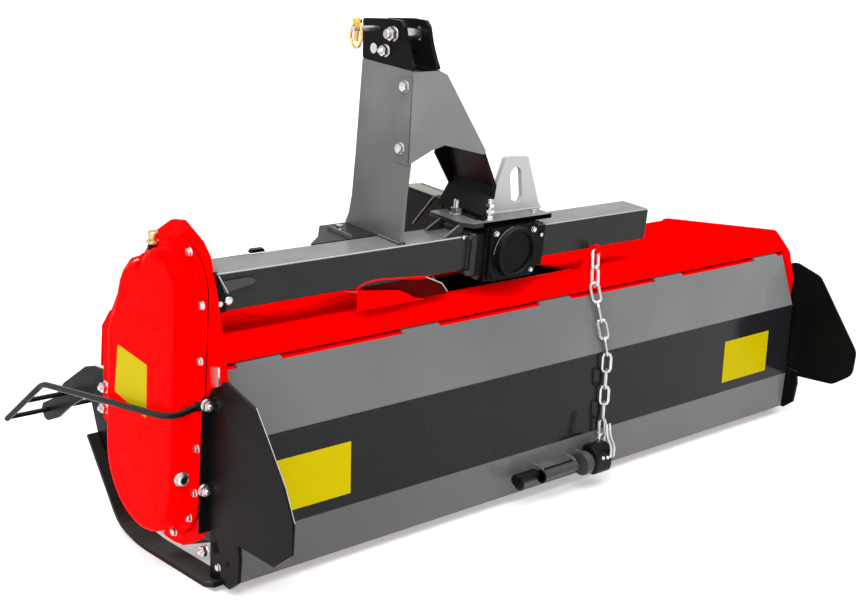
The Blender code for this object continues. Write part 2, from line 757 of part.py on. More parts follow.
def make_gearbox():
    body = box(
        "gearbox", (GEARBOX_LEFT, GEARBOX_RIGHT), (GEARBOX_REAR, GEARBOX_FRONT), (GEARBOX_BOTTOM, GEARBOX_TOP), BLACK,
    )
    bevelled(body, 0.008, 2)
    cheek_y = (BEAM_REAR - 0.006, BEAM_FRONT)
    cheek_z = (BEAM_BOTTOM - 0.012, BEAM_TOP + 0.002)
    cheeks = box(
        "gearbox_cheeks", (GEARBOX_LEFT - GEARBOX_CHEEK, GEARBOX_RIGHT + GEARBOX_CHEEK), cheek_y, cheek_z, BLACK,
    )
    boss = cylinder(
        "gearbox_boss", (GEARBOX_X, GEARBOX_FRONT - 0.01, PTO_Z),
        (GEARBOX_X, GEARBOX_FRONT + PTO_BOSS_LENGTH, PTO_Z), PTO_BOSS_RADIUS, 28, BLACK,
    )
    bore = cylinder(
        "gearbox_bore", (GEARBOX_X, GEARBOX_FRONT - 0.02, PTO_Z),
        (GEARBOX_X, GEARBOX_FRONT + PTO_BOSS_LENGTH + 0.01, PTO_Z), PTO_RADIUS + PIN_PLAY, 24, BLACK,
    )
    fuse(body, cheeks, boss)
    return cut(body, bore)


def make_gearbox_cover():
    start = GEARBOX_REAR - SEAM
    square = [
        (GEARBOX_LEFT + 0.004, GEARBOX_BOTTOM + 0.004), (GEARBOX_RIGHT - 0.004, GEARBOX_BOTTOM + 0.004),
        (GEARBOX_RIGHT - 0.004, GEARBOX_TOP - 0.006), (GEARBOX_LEFT + 0.004, GEARBOX_TOP - 0.006),
    ]
    cover = plate("gearbox_cover", [rounded(square, 0.012, 3)], start - COVER_PLATE, start, ACROSS_Y, BLACK)
    z = (GEARBOX_BOTTOM + GEARBOX_TOP) / 2
    dome = cylinder(
        "cover_dome", (GEARBOX_X, start - 0.002, z), (GEARBOX_X, start - COVER_PLATE - 0.012, z),
        COVER_RADIUS, 32, BLACK, COVER_RADIUS - 0.003,
    )
    dish = cylinder(
        "cover_dish", (GEARBOX_X, start - COVER_PLATE - 0.006, z), (GEARBOX_X, start - COVER_PLATE - 0.03, z),
        COVER_RADIUS - 0.010, 32, BLACK,
    )
    fuse(cover, dome)
    return cut(cover, dish)


def make_top_plate():
    low = GEARBOX_TOP + SEAM
    edge = rounded(
        [
            (TOP_PLATE_LEFT, TOP_PLATE_FRONT), (TOP_PLATE_LEFT, TOP_PLATE_REAR + 0.020),
            (GEARBOX_LEFT - 0.030, TOP_PLATE_REAR), (TOP_PLATE_RIGHT, TOP_PLATE_REAR),
            (TOP_PLATE_RIGHT, TOP_PLATE_FRONT),
        ],
        0.006, 2,
    )
    top = plate("gearbox_top_plate", [edge], low, low + TOP_PLATE, ACROSS_Z, GREY)
    gussets = []
    for y in (TOP_PLATE_REAR + 0.026, TOP_PLATE_FRONT - 0.012):
        rise = [
            (TOP_PLATE_LEFT + 0.004, low + 0.002), (TOP_PLATE_LEFT - 0.012, BEAM_TOP + SEAM),
            (GEARBOX_LEFT - 0.052, BEAM_TOP + SEAM), (GEARBOX_LEFT - 0.044, low + 0.002),
        ]
        gussets.append(plate("gusset", [rise], y - 0.003, y + 0.003, ACROSS_Y, GREY))
    return fuse(top, joined("gussets", gussets, GREY))


def make_lifting_lug():
    low = GEARBOX_TOP + TOP_PLATE + 2 * SEAM
    corners = [
        (LUG_X - LUG_FOOT / 2, low), (LUG_X + LUG_FOOT / 2, low), (LUG_X + LUG_FOOT / 2 - 0.012, low + 0.022),
        (LUG_X + LUG_HEAD / 2, low + LUG_HEIGHT), (LUG_X - LUG_HEAD / 2, low + LUG_HEIGHT),
        (LUG_X - LUG_FOOT / 2 + 0.012, low + 0.022),
    ]
    centre = low + LUG_HEIGHT - 0.018 - LUG_SLOT_WIDTH / 2
    foot = centre - (LUG_SLOT_HEIGHT - LUG_SLOT_WIDTH)
    slot = arc((LUG_X, centre), LUG_SLOT_WIDTH / 2, 0, 180, 8) + arc((LUG_X, foot), LUG_SLOT_WIDTH / 2, 180, 360, 8)
    return plate(
        "lifting_lug", [rounded(corners, 0.010, 3), slot], LUG_Y - LUG_PLATE / 2, LUG_Y + LUG_PLATE / 2,
        ACROSS_Y, LIGHT_GREY,
    )


def make_pto_guard():
    half = PTO_GUARD_WIDTH / 2
    low = PTO_GUARD_TOP - PTO_GUARD_DROP
    path = [
        (GEARBOX_X - half, low), (GEARBOX_X - half, PTO_GUARD_TOP - 0.022), (GEARBOX_X - half + 0.018, PTO_GUARD_TOP),
        (GEARBOX_X + half - 0.018, PTO_GUARD_TOP), (GEARBOX_X + half, PTO_GUARD_TOP - 0.022), (GEARBOX_X + half, low),
    ]
    start = GEARBOX_FRONT + SEAM
    return plate(
        "pto_guard", [strip(path, -GUARD_WALL)], start, start + PTO_GUARD_LENGTH, ACROSS_Y, BLACK,
    )


def make_pto_shaft():
    outline = []
    root = PTO_RADIUS - PTO_SPLINE_DEPTH
    step = 360 / PTO_SPLINES
    for i in range(PTO_SPLINES):
        middle = i * step
        outline += arc((GEARBOX_X, PTO_Z), PTO_RADIUS, middle - step * 0.22, middle + step * 0.22, 3)
        outline += arc((GEARBOX_X, PTO_Z), root, middle + step * 0.28, middle + step * 0.72, 3)
    start = GEARBOX_FRONT + 0.004
    shaft = plate("pto_shaft", [outline], start, start + PTO_LENGTH, ACROSS_Y, STEEL)
    set_origin(shaft, (GEARBOX_X, start, PTO_Z))
    return shaft


# Mast and lower hitch

def mast_rear(height):
    """The place forwards of the mast's slanting rear edge at this height."""
    share = (height - BEAM_TOP) / (MAST_HEAD_FROM - BEAM_TOP)
    return MAST_REAR_FOOT + (MAST_REAR_HEAD - MAST_REAR_FOOT) * share


def make_mast_plates(left_face, right_face):
    bottom = BEAM_TOP + SEAM
    top = MAST_HEAD_FROM - SEAM
    front = [(y, bottom + rise) for y, rise in MAST_FRONT[:-1]] + [(MAST_FRONT[-1][0], top)]
    edge = [(mast_rear(bottom), bottom)] + front + [(mast_rear(top), top)]
    plate("mast_plate_left", [edge], left_face, left_face + MAST_PLATE, ACROSS_X, GREY)
    foot = GEARBOX_TOP + TOP_PLATE + 2 * SEAM
    path = [(right_face + run, foot + rise) for run, rise in MAST_LEG]
    path += [(right_face, top - MAST_PLATE), (right_face, top)]
    leg = plate(
        "mast_plate_right", [strip(path, -MAST_PLATE)], MAST_REAR_FOOT, MAST_LEG_FRONT, ACROSS_Y, BLACK,
    )
    for vertex in leg.data.vertices:
        if vertex.co.y < (MAST_REAR_FOOT + MAST_LEG_FRONT) / 2:
            vertex.co.y = mast_rear(vertex.co.z)
    middle = (REAR_SHEET[0][1] + REAR_SHEET[-1][1]) / 2
    sheet = plate(
        "mast_rear_sheet", [[(left_face + run, height - middle) for run, height in REAR_SHEET]], -SHEET, 0,
        ACROSS_Y, GREY,
    )
    lean = math.atan((MAST_REAR_HEAD - MAST_REAR_FOOT) / (MAST_HEAD_FROM - BEAM_TOP))
    seat = Matrix.Translation((0, mast_rear(middle) - SEAM, middle))
    sheet.data.transform(seat @ Matrix.Rotation(-lean, 4, "X"))


def make_mast_head(left_face, right_face):
    pin_hole = circle((TOP_PIN_Y, TOP_PIN_Z), TOP_PIN_RADIUS + PIN_PLAY, 20)
    second_hole = circle((TOP_HOLE_Y, TOP_HOLE_Z), TOP_PIN_RADIUS + PIN_PLAY, 20)
    edge = [(y, MAST_HEAD_FROM + rise) for y, rise in MAST_HEAD]
    head = [(MAST_FRONT[-1][0], MAST_HEAD_FROM), (MAST_REAR_HEAD, MAST_HEAD_FROM)] + edge
    head_edge = rounded(head, MAST_HEAD_CORNER, 3)
    for name, face in (("mast_head_left", left_face), ("mast_head_right", right_face)):
        plate(name, [head_edge, pin_hole, second_hole], face, face + MAST_PLATE, ACROSS_X, BLACK)
    pin_from = left_face - TOP_PIN_PAST
    pin_to = right_face + MAST_PLATE + TOP_PIN_HEAD_GAP
    pin = cylinder(
        "top_link_pin", (pin_from, TOP_PIN_Y, TOP_PIN_Z), (pin_to, TOP_PIN_Y, TOP_PIN_Z), TOP_PIN_RADIUS, 20, ZINC,
    )
    head_disc = cylinder(
        "pin_head", (pin_to - 0.001, TOP_PIN_Y, TOP_PIN_Z), (pin_to + TOP_PIN_HEAD, TOP_PIN_Y, TOP_PIN_Z),
        TOP_PIN_HEAD_RADIUS, 20, ZINC,
    )
    fuse(pin, head_disc)


def make_mast():
    left_face = MAST_X - MAST_GAP / 2 - MAST_PLATE
    right_face = MAST_X + MAST_GAP / 2
    make_mast_plates(left_face, right_face)
    make_mast_head(left_face, right_face)
    base_front = BEAM_FRONT + SEAM
    box(
        "mast_base", (MAST_BASE_LEFT, MAST_BASE_LEFT + MAST_BASE_LENGTH), (base_front, base_front + MAST_BASE_DEPTH),
        (BEAM_TOP - CLAMP_PLATE, BEAM_TOP), BLACK,
    )


def make_lower_arm(name, centre):
    """Two plates from a foot on the beam's front forwards to the lower pin."""
    head = arc((LOWER_PIN_Y, LOWER_PIN_Z), ARM_HEAD_RADIUS, -80, 100, 10)
    outline = [
        (BEAM_FRONT + SEAM, BEAM_BOTTOM - CLAMP_MARGIN), (0.100, BEAM_BOTTOM - 0.020),
    ] + head + [(BEAM_FRONT + SEAM, BEAM_TOP - CLAMP_INSET)]
    hole = circle((LOWER_PIN_Y, LOWER_PIN_Z), LOWER_PIN_RADIUS + PIN_PLAY, 20)
    cheeks = []
    for side in (-1, 1):
        inner = centre + side * ARM_GAP / 2
        outer = inner + side * ARM_PLATE
        cheeks.append(plate("arm_cheek", [outline, hole], min(inner, outer), max(inner, outer), ACROSS_X, BLACK))
    face = box(
        name, (centre - CLAMP_WIDTH / 2, centre + CLAMP_WIDTH / 2),
        (BEAM_FRONT + SEAM, BEAM_FRONT + SEAM + CLAMP_PLATE),
        (BEAM_BOTTOM - CLAMP_MARGIN, BEAM_TOP - CLAMP_INSET), BLACK,
    )
    fuse(face, joined(name + "_cheeks", cheeks, BLACK))
    pin_half = LOWER_PIN_LENGTH / 2
    pin = cylinder(
        name.replace("arm", "pin"), (centre - pin_half, LOWER_PIN_Y, LOWER_PIN_Z),
        (centre + pin_half, LOWER_PIN_Y, LOWER_PIN_Z), LOWER_PIN_RADIUS, 20, ZINC,
    )
    return face, pin


def make_lower_hitch():
    make_lower_arm("lower_arm_left", MAST_X - LOWER_PIN_SPREAD / 2)
    make_lower_arm("lower_arm_right", MAST_X + LOWER_PIN_SPREAD / 2)


# Guard, skids and wings

def make_guard():
    rim = SIDE_OUTER + SEAM + CASE_BASE + CASE_RIM
    seat = -rim - SEAM
    corners = [
        (seat - 0.003, ROD_START_Y, ROD_START_Z), (-ROD_OUT + 0.004, ROD_START_Y - 0.004, ROD_START_Z - 0.006),
        (-ROD_OUT, ROD_BEND_Y, ROD_BEND_Z), (-ROD_OUT, ROD_CORNER_Y, ROD_CORNER_Z),
        (-ROD_OUT, ROD_TIP_Y, ROD_TIP_Z),
    ]
    rod = bent_rod("guard_rod_left", smooth_path(corners, ROD_BEND_RADIUS), ROD_RADIUS, BLACK)
    eye = cylinder(
        "guard_eye", (seat, ROD_START_Y, ROD_START_Z), (seat - 0.006, ROD_START_Y, ROD_START_Z),
        ROD_EYE_RADIUS, 16, BLACK,
    )
    fuse(rod, eye)
    mirrored(rod, "guard_rod_right")
    reach = ROD_OUT - ROD_RADIUS - SEAM
    holes = []
    for name, share in (("guard_bar_upper", BAR_UPPER_SHARE), ("guard_bar_lower", BAR_LOWER_SHARE)):
        y = ROD_CORNER_Y + (ROD_TIP_Y - ROD_CORNER_Y) * share
        z = ROD_CORNER_Z + (ROD_TIP_Z - ROD_CORNER_Z) * share
        cylinder(name, (-reach, y, z), (reach, y, z), BAR_RADIUS, 12, BLACK)
        holes.append(circle((y, z), BAR_RADIUS + PIN_PLAY, 12))
    leg_low, leg_high = [Vector(machine_from_ground(y, z)) for y, z in skid_path()[-2:]]
    leg_along = (leg_high - leg_low).normalized()
    seat = Vector((-leg_along.y, leg_along.x)) * (SKID_THICKNESS + SEAM)
    foot = leg_high - leg_along * GUARD_LEG_WIDTH
    outline = list(GUARD_ARM) + [tuple(leg_high + seat), tuple(foot + seat), (GUARD_ARM[0][0], -0.010)]
    inner = HALF_WIDTH - SEAM
    left = plate("guard_arm_left", [outline, *holes], -inner, -inner + GUARD_ARM_PLATE, ACROSS_X, BLACK)
    right = plate("guard_arm_right", [outline, *holes], inner - GUARD_ARM_PLATE, inner, ACROSS_X, BLACK)
    return left, right


def skid_path():
    """The underside of the skid along the ground: heel, flat sole and toe."""
    toe = [(SKID_FLAT_FRONT + run, rise) for run, rise in SKID_TOE]
    route = smooth_path([(0, y, z) for y, z in [(SKID_FLAT_REAR, 0), (SKID_FLAT_FRONT, 0)] + toe], 0.030, 3)
    return [(SKID_FLAT_REAR - SKID_HEEL_RUN, SKID_HEEL_RISE)] + [(y, z) for _, y, z in route]


def make_skids():
    band = strip(skid_path(), SKID_THICKNESS)
    outline = [machine_from_ground(y, z) for y, z in band]
    left = plate("skid_left", [outline], -SKID_OUT, -SKID_OUT + SKID_WIDTH, ACROSS_X, BLACK)
    plate("skid_right", [outline], SKID_OUT - SKID_WIDTH, SKID_OUT, ACROSS_X, BLACK)
    return left


def make_skid_posts():
    step = SKID_THICKNESS + 2 * SEAM
    share = 0.9
    foot = [
        (SKID_FLAT_REAR - share * SKID_HEEL_RUN, share * SKID_HEEL_RISE + step),
        (SKID_FLAT_REAR, step), (SKID_FLAT_REAR + 0.012, step),
    ]
    outline = [machine_from_ground(y, z) for y, z in foot] + [
        (-SIDE_REAR + POST_WIDTH, -0.080), (-SIDE_REAR + POST_WIDTH, 0.010),
        (-SIDE_REAR - 0.004, 0.010), (-SIDE_REAR - 0.012, -0.080),
    ]
    inner = HALF_WIDTH - SEAM
    plate("skid_post_left", [outline], -inner, -inner + POST_PLATE, ACROSS_X, BLACK)
    plate("skid_post_right", [outline], inner - POST_PLATE, inner, ACROSS_X, BLACK)


def make_wings():
    start = SIDE_OUTER + SEAM
    outline = rounded(WING_EDGE, WING_CORNER, 3)
    plate("wing_left", [outline], -start - WING_PLATE, -start, ACROSS_X, BLACK)
    plate("wing_right", [outline], start, start + WING_PLATE, ACROSS_X, BLACK)


# Tailgate and chain

def make_hinge_rod():
    reach = SIDE_OUTER - 0.001
    return cylinder(
        "hinge_rod", (-reach, HINGE.x, HINGE.y), (reach, HINGE.x, HINGE.y), HINGE_ROD_RADIUS, 16, ZINC,
    )


def handle_line():
    """The place forwards of the tailgate's outer face behind the handle, and the height of the handle's axis."""
    height = TAILGATE_BOTTOM[1] + HANDLE_RISE
    share = (height - CREASE_LOWER[1]) / (TAILGATE_BOTTOM[1] - CREASE_LOWER[1])
    return CREASE_LOWER[0] - TAILGATE_LOWER_RUN * share, height


def make_handle_brackets():
    face, height = handle_line()
    axis = (face - HANDLE_REACH, height)
    edge = arc(axis, HANDLE_BRACKET_RADIUS, 90, 270, 8)
    edge += [(face + SHEET / 2, height - HANDLE_BRACKET_RADIUS), (face + SHEET / 2, height + HANDLE_BRACKET_RADIUS)]
    hole = circle(axis, HANDLE_RADIUS + PIN_PLAY, 12)
    return [
        plate("handle_bracket", [edge, hole], left, left + HANDLE_BRACKET_PLATE, ACROSS_X, GREY)
        for left in HANDLE_BRACKETS
    ]


def make_tailgate():
    edge = HALF_WIDTH - TAILGATE_GAP
    lip = (TAILGATE_BOTTOM[0] + TAILGATE_LIP, TAILGATE_BOTTOM[1] - TAILGATE_LIP_DROP)
    path = [tuple(SHEET_TOP), CREASE_UPPER, CREASE_LOWER, TAILGATE_BOTTOM, lip]
    sheet = plate("tailgate", [strip(path, SHEET)], -edge, edge, ACROSS_X, GREY)
    welded = make_handle_brackets()
    outer = circle(HINGE, KNUCKLE_RADIUS, 16)
    inner = circle(HINGE, HINGE_ROD_RADIUS + HINGE_PLAY, 16)
    span = 2 * (edge - KNUCKLE_LENGTH / 2 - KNUCKLE_INSET)
    for i in range(KNUCKLE_COUNT):
        middle = -span / 2 + span * i / (KNUCKLE_COUNT - 1)
        start, end = middle - KNUCKLE_LENGTH / 2, middle + KNUCKLE_LENGTH / 2
        welded.append(plate("knuckle", [outer, inner], start, end, ACROSS_X, GREY))
    fuse(sheet, joined("welded_on", welded, GREY))
    set_origin(sheet, (0, HINGE.x, HINGE.y))
    return sheet


def make_handle():
    face, height = handle_line()
    y = face - HANDLE_REACH
    rod = cylinder("tailgate_handle", (HANDLE_LEFT + 0.002, y, height), (KNOB_X, y, height), HANDLE_RADIUS, 16, BLACK)
    grip = cylinder(
        "handle_grip", (HANDLE_LEFT, y, height), (HANDLE_LEFT + HANDLE_GRIP_LENGTH, y, height),
        HANDLE_GRIP_RADIUS, 20, BLACK,
    )
    bevelled(grip, HANDLE_GRIP_RADIUS / 3)
    ball = bmesh.new()
    bmesh.ops.create_uvsphere(ball, u_segments=18, v_segments=12, radius=KNOB_RADIUS)
    bmesh.ops.transform(ball, matrix=Matrix.Translation((KNOB_X, y, height)), verts=ball.verts)
    fuse(rod, grip, mesh_object("handle_knob", ball, BLACK))
    set_origin(rod, (0, HINGE.x, HINGE.y))
    return rod


def chain_route():
    """The middle line of the chain behind the hood's lip and the tailgate: its top, lip, knee and lower end."""
    outward = -UPPER_INWARD * CHAIN_STAND
    lip = Vector(HOOD_LIP) + outward
    knee = Vector(CREASE_UPPER) + outward
    low = Vector(CREASE_LOWER).lerp(Vector(TAILGATE_BOTTOM), CHAIN_END_SHARE) - Vector((CHAIN_STAND, 0))
    reach = CHAIN_LINKS_UPPER * CHAIN_PITCH + 2 * CHAIN_WIRE - CHAIN_PAST_LIP
    lean = math.radians(CHAIN_RISE)
    top = lip + Vector((math.sin(lean), math.cos(lean))) * reach
    return top, lip, knee, low


def along_route(points, distance):
    """The place at this distance along the line through these points."""
    for a, b in zip(points, points[1:]):
        length = (b - a).length
        if distance <= length:
            return a + (b - a) * distance / length
        distance -= length
    return points[-1]


def link_points(middle, along, sideways):
    """The closed middle line of one link's wire."""
    bend = CHAIN_INNER_WIDTH / 2 + CHAIN_WIRE
    straight = (CHAIN_PITCH - CHAIN_TOUCH - CHAIN_INNER_WIDTH) / 2
    points = []
    for end in (1, -1):
        for k in range(5):
            turn = math.radians(-90 + 180 * k / 4)
            points.append(middle + end * (along * (straight + bend * math.cos(turn)) + sideways * bend * math.sin(turn)))
    return points


def make_links(name, points, count):
    """A run of links from the first point on. The first two are flat and upright, and the others lie slantwise."""
    links = []
    for i in range(count):
        start, end = along_route(points, i * CHAIN_PITCH), along_route(points, (i + 1) * CHAIN_PITCH)
        along = (end - start).normalized()
        across = Vector((1, 0, 0))
        lean = (0, 90)[i % 2] if i < 2 else (45, 135)[i % 2]
        turn = Matrix.Rotation(math.radians(lean), 3, along)
        route = link_points((start + end) / 2, along, turn @ across)
        links.append(bent_rod(f"{name}_{i}", route, CHAIN_WIRE, ZINC, closed=True, resolution=1))
    first = links[0]
    first.name = name
    return fuse(first, *links[1:])


def make_chain():
    top, lip, knee, low = [Vector((CHAIN_X, p.x, p.y)) for p in chain_route()]
    upper = make_links("chain_upper", [top, lip, knee], CHAIN_LINKS_UPPER)
    lower = make_links("chain_lower", [low, knee, lip], CHAIN_LINKS_LOWER)
    set_origin(lower, (0, HINGE.x, HINGE.y))
    return upper, lower


def make_chain_brackets():
    """Two eye plates, one on the hood's rear slope and one on the tailgate, with an end link through each."""
    top, lip, knee, low = chain_route()
    sides = CHAIN_X - BRACKET_PLATE / 2, CHAIN_X + BRACKET_PLATE / 2
    ridge = Vector((HOOD_RIDGE_Y, HOOD_RIDGE_Z))
    slope = Vector(HOOD_LIP) - ridge
    lift = Vector((slope.y, -slope.x)).normalized() * SEAM
    foot_front = ridge + slope * 0.10 + lift
    foot_rear = ridge + slope * 0.62 + lift
    eye = top + (top - lip).normalized() * BRACKET_EYE_SHIFT
    outline = (
        [tuple(foot_front), tuple(foot_rear), (eye.x + 0.014, eye.y - 0.020)]
        + arc(eye, BRACKET_RADIUS, 250, 90, 8) + [(BEAM_REAR - 0.005, eye.y + BRACKET_RADIUS / 2)]
    )
    hole = circle(eye, CHAIN_WIRE + BRACKET_EYE_GAP, 16)
    plate("chain_bracket_upper", [outline, hole], *sides, ACROSS_X, RED)
    eye = low - (knee - low).normalized() * BRACKET_EYE_SHIFT
    face = eye.x + CHAIN_STAND - SEAM
    outline = arc(eye, BRACKET_RADIUS, 100, 260, 8) + [(face - 0.001, eye.y - 0.016), (face, eye.y + 0.016)]
    hole = circle(eye, CHAIN_WIRE + BRACKET_EYE_GAP, 16)
    lower = plate("chain_bracket_lower", [outline, hole], *sides, ACROSS_X, GREY)
    set_origin(lower, (0, HINGE.x, HINGE.y))


make_side_plates()
make_hood()
make_gear_case()
make_rotor()
make_bearing()
make_beams()
make_gearbox()
make_gearbox_cover()
make_top_plate()
make_lifting_lug()
make_pto_guard()
make_pto_shaft()
make_mast()
make_lower_hitch()
make_guard()
make_skids()
make_skid_posts()
make_wings()
make_hinge_rod()
make_tailgate()
make_handle()
make_chain()
make_chain_brackets()
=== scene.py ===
"""The looks of a tractor's rotary tiller: a finish for each solid, and the small pieces on them."""

import json
import math

import bmesh
import bpy
from mathutils import Matrix, Vector


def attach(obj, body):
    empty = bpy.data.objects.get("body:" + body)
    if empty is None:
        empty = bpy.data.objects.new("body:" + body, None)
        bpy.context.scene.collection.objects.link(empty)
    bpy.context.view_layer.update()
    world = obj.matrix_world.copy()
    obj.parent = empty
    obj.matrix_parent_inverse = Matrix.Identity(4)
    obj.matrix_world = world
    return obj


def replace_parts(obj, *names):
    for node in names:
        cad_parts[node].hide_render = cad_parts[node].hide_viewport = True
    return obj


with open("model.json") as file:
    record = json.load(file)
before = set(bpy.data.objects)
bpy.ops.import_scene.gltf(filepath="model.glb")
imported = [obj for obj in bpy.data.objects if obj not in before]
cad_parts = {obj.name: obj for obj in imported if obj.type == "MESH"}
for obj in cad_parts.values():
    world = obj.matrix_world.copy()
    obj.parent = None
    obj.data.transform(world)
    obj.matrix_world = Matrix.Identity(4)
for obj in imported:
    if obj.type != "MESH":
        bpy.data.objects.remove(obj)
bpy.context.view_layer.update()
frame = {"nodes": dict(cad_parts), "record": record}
NODES = frame["nodes"]

# The machine's own frame: its origin is the middle of the rotor's axis, and it leans back as it parks
LEAN = math.radians(7.5)
PLACE = Matrix.Translation((0, -0.0863, 0.200)) @ Matrix.Rotation(LEAN, 4, "X")
LEFT = Vector((-1, 0, 0))
RIGHT = Vector((1, 0, 0))
REAR = Vector((0, -1, 0))
FRONT = Vector((0, 1, 0))
UP = Vector((0, 0, 1))


# Finishes

class Finish:
    """A material built from noise in metres, with helpers that add one node each."""

    def __init__(self, name):
        self.material = bpy.data.materials.new(name)
        self.material.use_nodes = True
        self.tree = self.material.node_tree
        self.shader = self.tree.nodes["Principled BSDF"]
        self.place = self.node("ShaderNodeTexCoord").outputs["Object"]

    def node(self, kind, inputs=None, **settings):
        made = self.tree.nodes.new(kind)
        for key, value in settings.items():
            setattr(made, key, value)
        for key, value in (inputs or {}).items():
            self.feed(made.inputs[key], value)
        return made

    def feed(self, socket, value):
        if isinstance(value, bpy.types.NodeSocket):
            self.tree.links.new(value, socket)
        else:
            socket.default_value = value

    def set(self, **values):
        for key, value in values.items():
            self.feed(self.shader.inputs[key.replace("_", " ")], value)

    def stretched(self, scale):
        return self.node("ShaderNodeMapping", {"Vector": self.place, "Scale": scale}).outputs["Vector"]

    def noise(self, scale, detail=3.0, roughness=0.5, place=None):
        made = self.node(
            "ShaderNodeTexNoise",
            {"Vector": place or self.place, "Scale": scale, "Detail": detail, "Roughness": roughness},
        )
        return made.outputs["Fac"]

    def span(self, value, low, high, first=0.0, last=1.0):
        made = self.node(
            "ShaderNodeMapRange",
            {"Value": value, "From Min": low, "From Max": high, "To Min": first, "To Max": last},
        )
        return made.outputs["Result"]

    def maths(self, kind, a, b):
        made = self.node("ShaderNodeMath", operation=kind)
        self.feed(made.inputs[0], a)
        self.feed(made.inputs[1], b)
        return made.outputs[0]

    def mix(self, share, a, b):
        made = self.node("ShaderNodeMix", data_type="RGBA")
        self.feed(made.inputs[0], share)
        self.feed(made.inputs[6], (*a, 1) if isinstance(a, tuple) else a)
        self.feed(made.inputs[7], (*b, 1) if isinstance(b, tuple) else b)
        return made.outputs[2]

    def facing_up(self):
        normal = self.node("ShaderNodeNewGeometry").outputs["Normal"]
        return self.node("ShaderNodeSeparateXYZ", {"Vector": normal}).outputs["Z"]

    def height(self):
        return self.node("ShaderNodeSeparateXYZ", {"Vector": self.place}).outputs["Z"]

    def rounded_normal(self, radius):
        return self.node("ShaderNodeBevel", {"Radius": radius}, samples=4).outputs["Normal"]

    def edge(self, radius):
        """High where the surface turns sharply within this radius."""
        soft = self.rounded_normal(radius)
        hard = self.node("ShaderNodeNewGeometry").outputs["Normal"]
        turn = self.node("ShaderNodeVectorMath", {0: soft, 1: hard}, operation="DOT_PRODUCT")
        return self.span(turn.outputs["Value"], 0.97, 0.80)

    def rubbed(self, most):
        """Worn patches along the sharp edges, up to this share."""
        patches = self.span(self.noise(60, 4, 0.65), 0.50, 0.64, 0, most)
        return self.maths("MULTIPLY", self.edge(0.0016), patches)

    def relief(self, height, strength, distance, round_edges=0.0):
        inputs = {"Height": height, "Strength": strength, "Distance": distance}
        if round_edges:
            inputs["Normal"] = self.rounded_normal(round_edges)
        self.set(Normal=self.node("ShaderNodeBump", inputs).outputs["Normal"])


def painted(name, colour, rough, worn, dust_and_sheen=0.06, shade=0.12, shine=0.5, dust_and_sheen_colour=(0.50, 0.47, 0.43)):
    """Sprayed paint: uneven gloss, a film on upward faces, and edges rubbed towards the worn colour. The film
    is a little dust on most paints, and a painted sheen where it is strong.
    """
    f = Finish(name)
    dark = tuple(c * (1 - shade) for c in colour)
    light = tuple(min(1, c * (1 + shade)) for c in colour)
    tone = f.mix(f.span(f.noise(3.2, 4), 0.35, 0.65), dark, light)
    tone = f.mix(f.span(f.noise(420, 2, 0.6), 0.68, 0.74, 0, 0.35), tone, worn)
    rub = f.rubbed(0.75)
    tone = f.mix(rub, tone, worn)
    # The film on upward faces: real dust where it is faint, and painted light (a sheen that lightens the
    # tops) where it is strong, as on the graphite paint.
    cover = f.span(f.noise(14, 5, 0.7), 0.30, 0.70, dust_and_sheen * 0.7, dust_and_sheen)
    tone = f.mix(f.maths("MULTIPLY", f.span(f.facing_up(), 0.3, 0.95), cover), tone, dust_and_sheen_colour)
    gloss = f.span(f.noise(22, 4), 0.3, 0.7, rough * 0.85, rough * 1.2)
    gloss = f.maths("ADD", gloss, f.maths("MULTIPLY", rub, 0.2))
    grain = f.maths("ADD", f.noise(260, 2), f.maths("MULTIPLY", f.noise(38, 2), 1.5))
    f.set(Base_Color=tone, Roughness=gloss, IOR=1.5, Specular_IOR_Level=shine)
    f.relief(grain, 0.10, 0.0006, 0.0015)
    return f.material


def metal(name, colour, rough, stain, blotch=0.25):
    """Plated or bare metal, with cloudy tone, fine scratches and dull stains."""
    f = Finish(name)
    cloud = f.noise(45, 4, 0.6)
    tone = f.mix(f.span(cloud, 0.40, 0.68, 0, blotch), colour, stain)
    scratch = f.noise(180, 2, 0.5, f.stretched((1, 9, 1)))
    both = f.maths("ADD", f.maths("MULTIPLY", cloud, 0.6), f.maths("MULTIPLY", scratch, 0.4))
    f.set(Base_Color=tone, Roughness=f.span(both, 0.35, 0.65, rough * 0.75, rough * 1.3), Metallic=1.0)
    f.relief(scratch, 0.12, 0.0004, 0.0008)
    return f.material


def vinyl(name, colour):
    f = Finish(name)
    tone = f.mix(f.span(f.noise(9, 4), 0.3, 0.7), tuple(c * 0.93 for c in colour), colour)
    tone = f.mix(f.span(f.noise(130, 4, 0.7), 0.66, 0.72, 0, 0.20), tone, (0.40, 0.34, 0.05))
    gloss = f.span(f.noise(30, 3), 0.3, 0.7, 0.30, 0.42)
    f.set(Base_Color=tone, Roughness=gloss, Specular_IOR_Level=0.02)
    f.relief(f.noise(55, 3), 0.06, 0.0006)
    return f.material


def plastic(name, colour, rough, shine):
    f = Finish(name)
    dark = tuple(c * 0.8 for c in colour)
    light = tuple(c * 1.25 for c in colour)
    tone = f.mix(f.span(f.noise(16, 4), 0.3, 0.7), dark, light)
    gloss = f.span(f.noise(50, 3), 0.3, 0.7, rough * 0.85, rough * 1.2)
    f.set(Base_Color=tone, Roughness=gloss, Specular_IOR_Level=shine)
    f.relief(f.noise(900, 2), 0.15, 0.0004, 0.001)
    return f.material


# The heights between which the tailgate's painted shade changes at its two creases
LOWER_CREASE = (0.1055, 0.1068)
UPPER_CREASE = (0.2768, 0.2782)


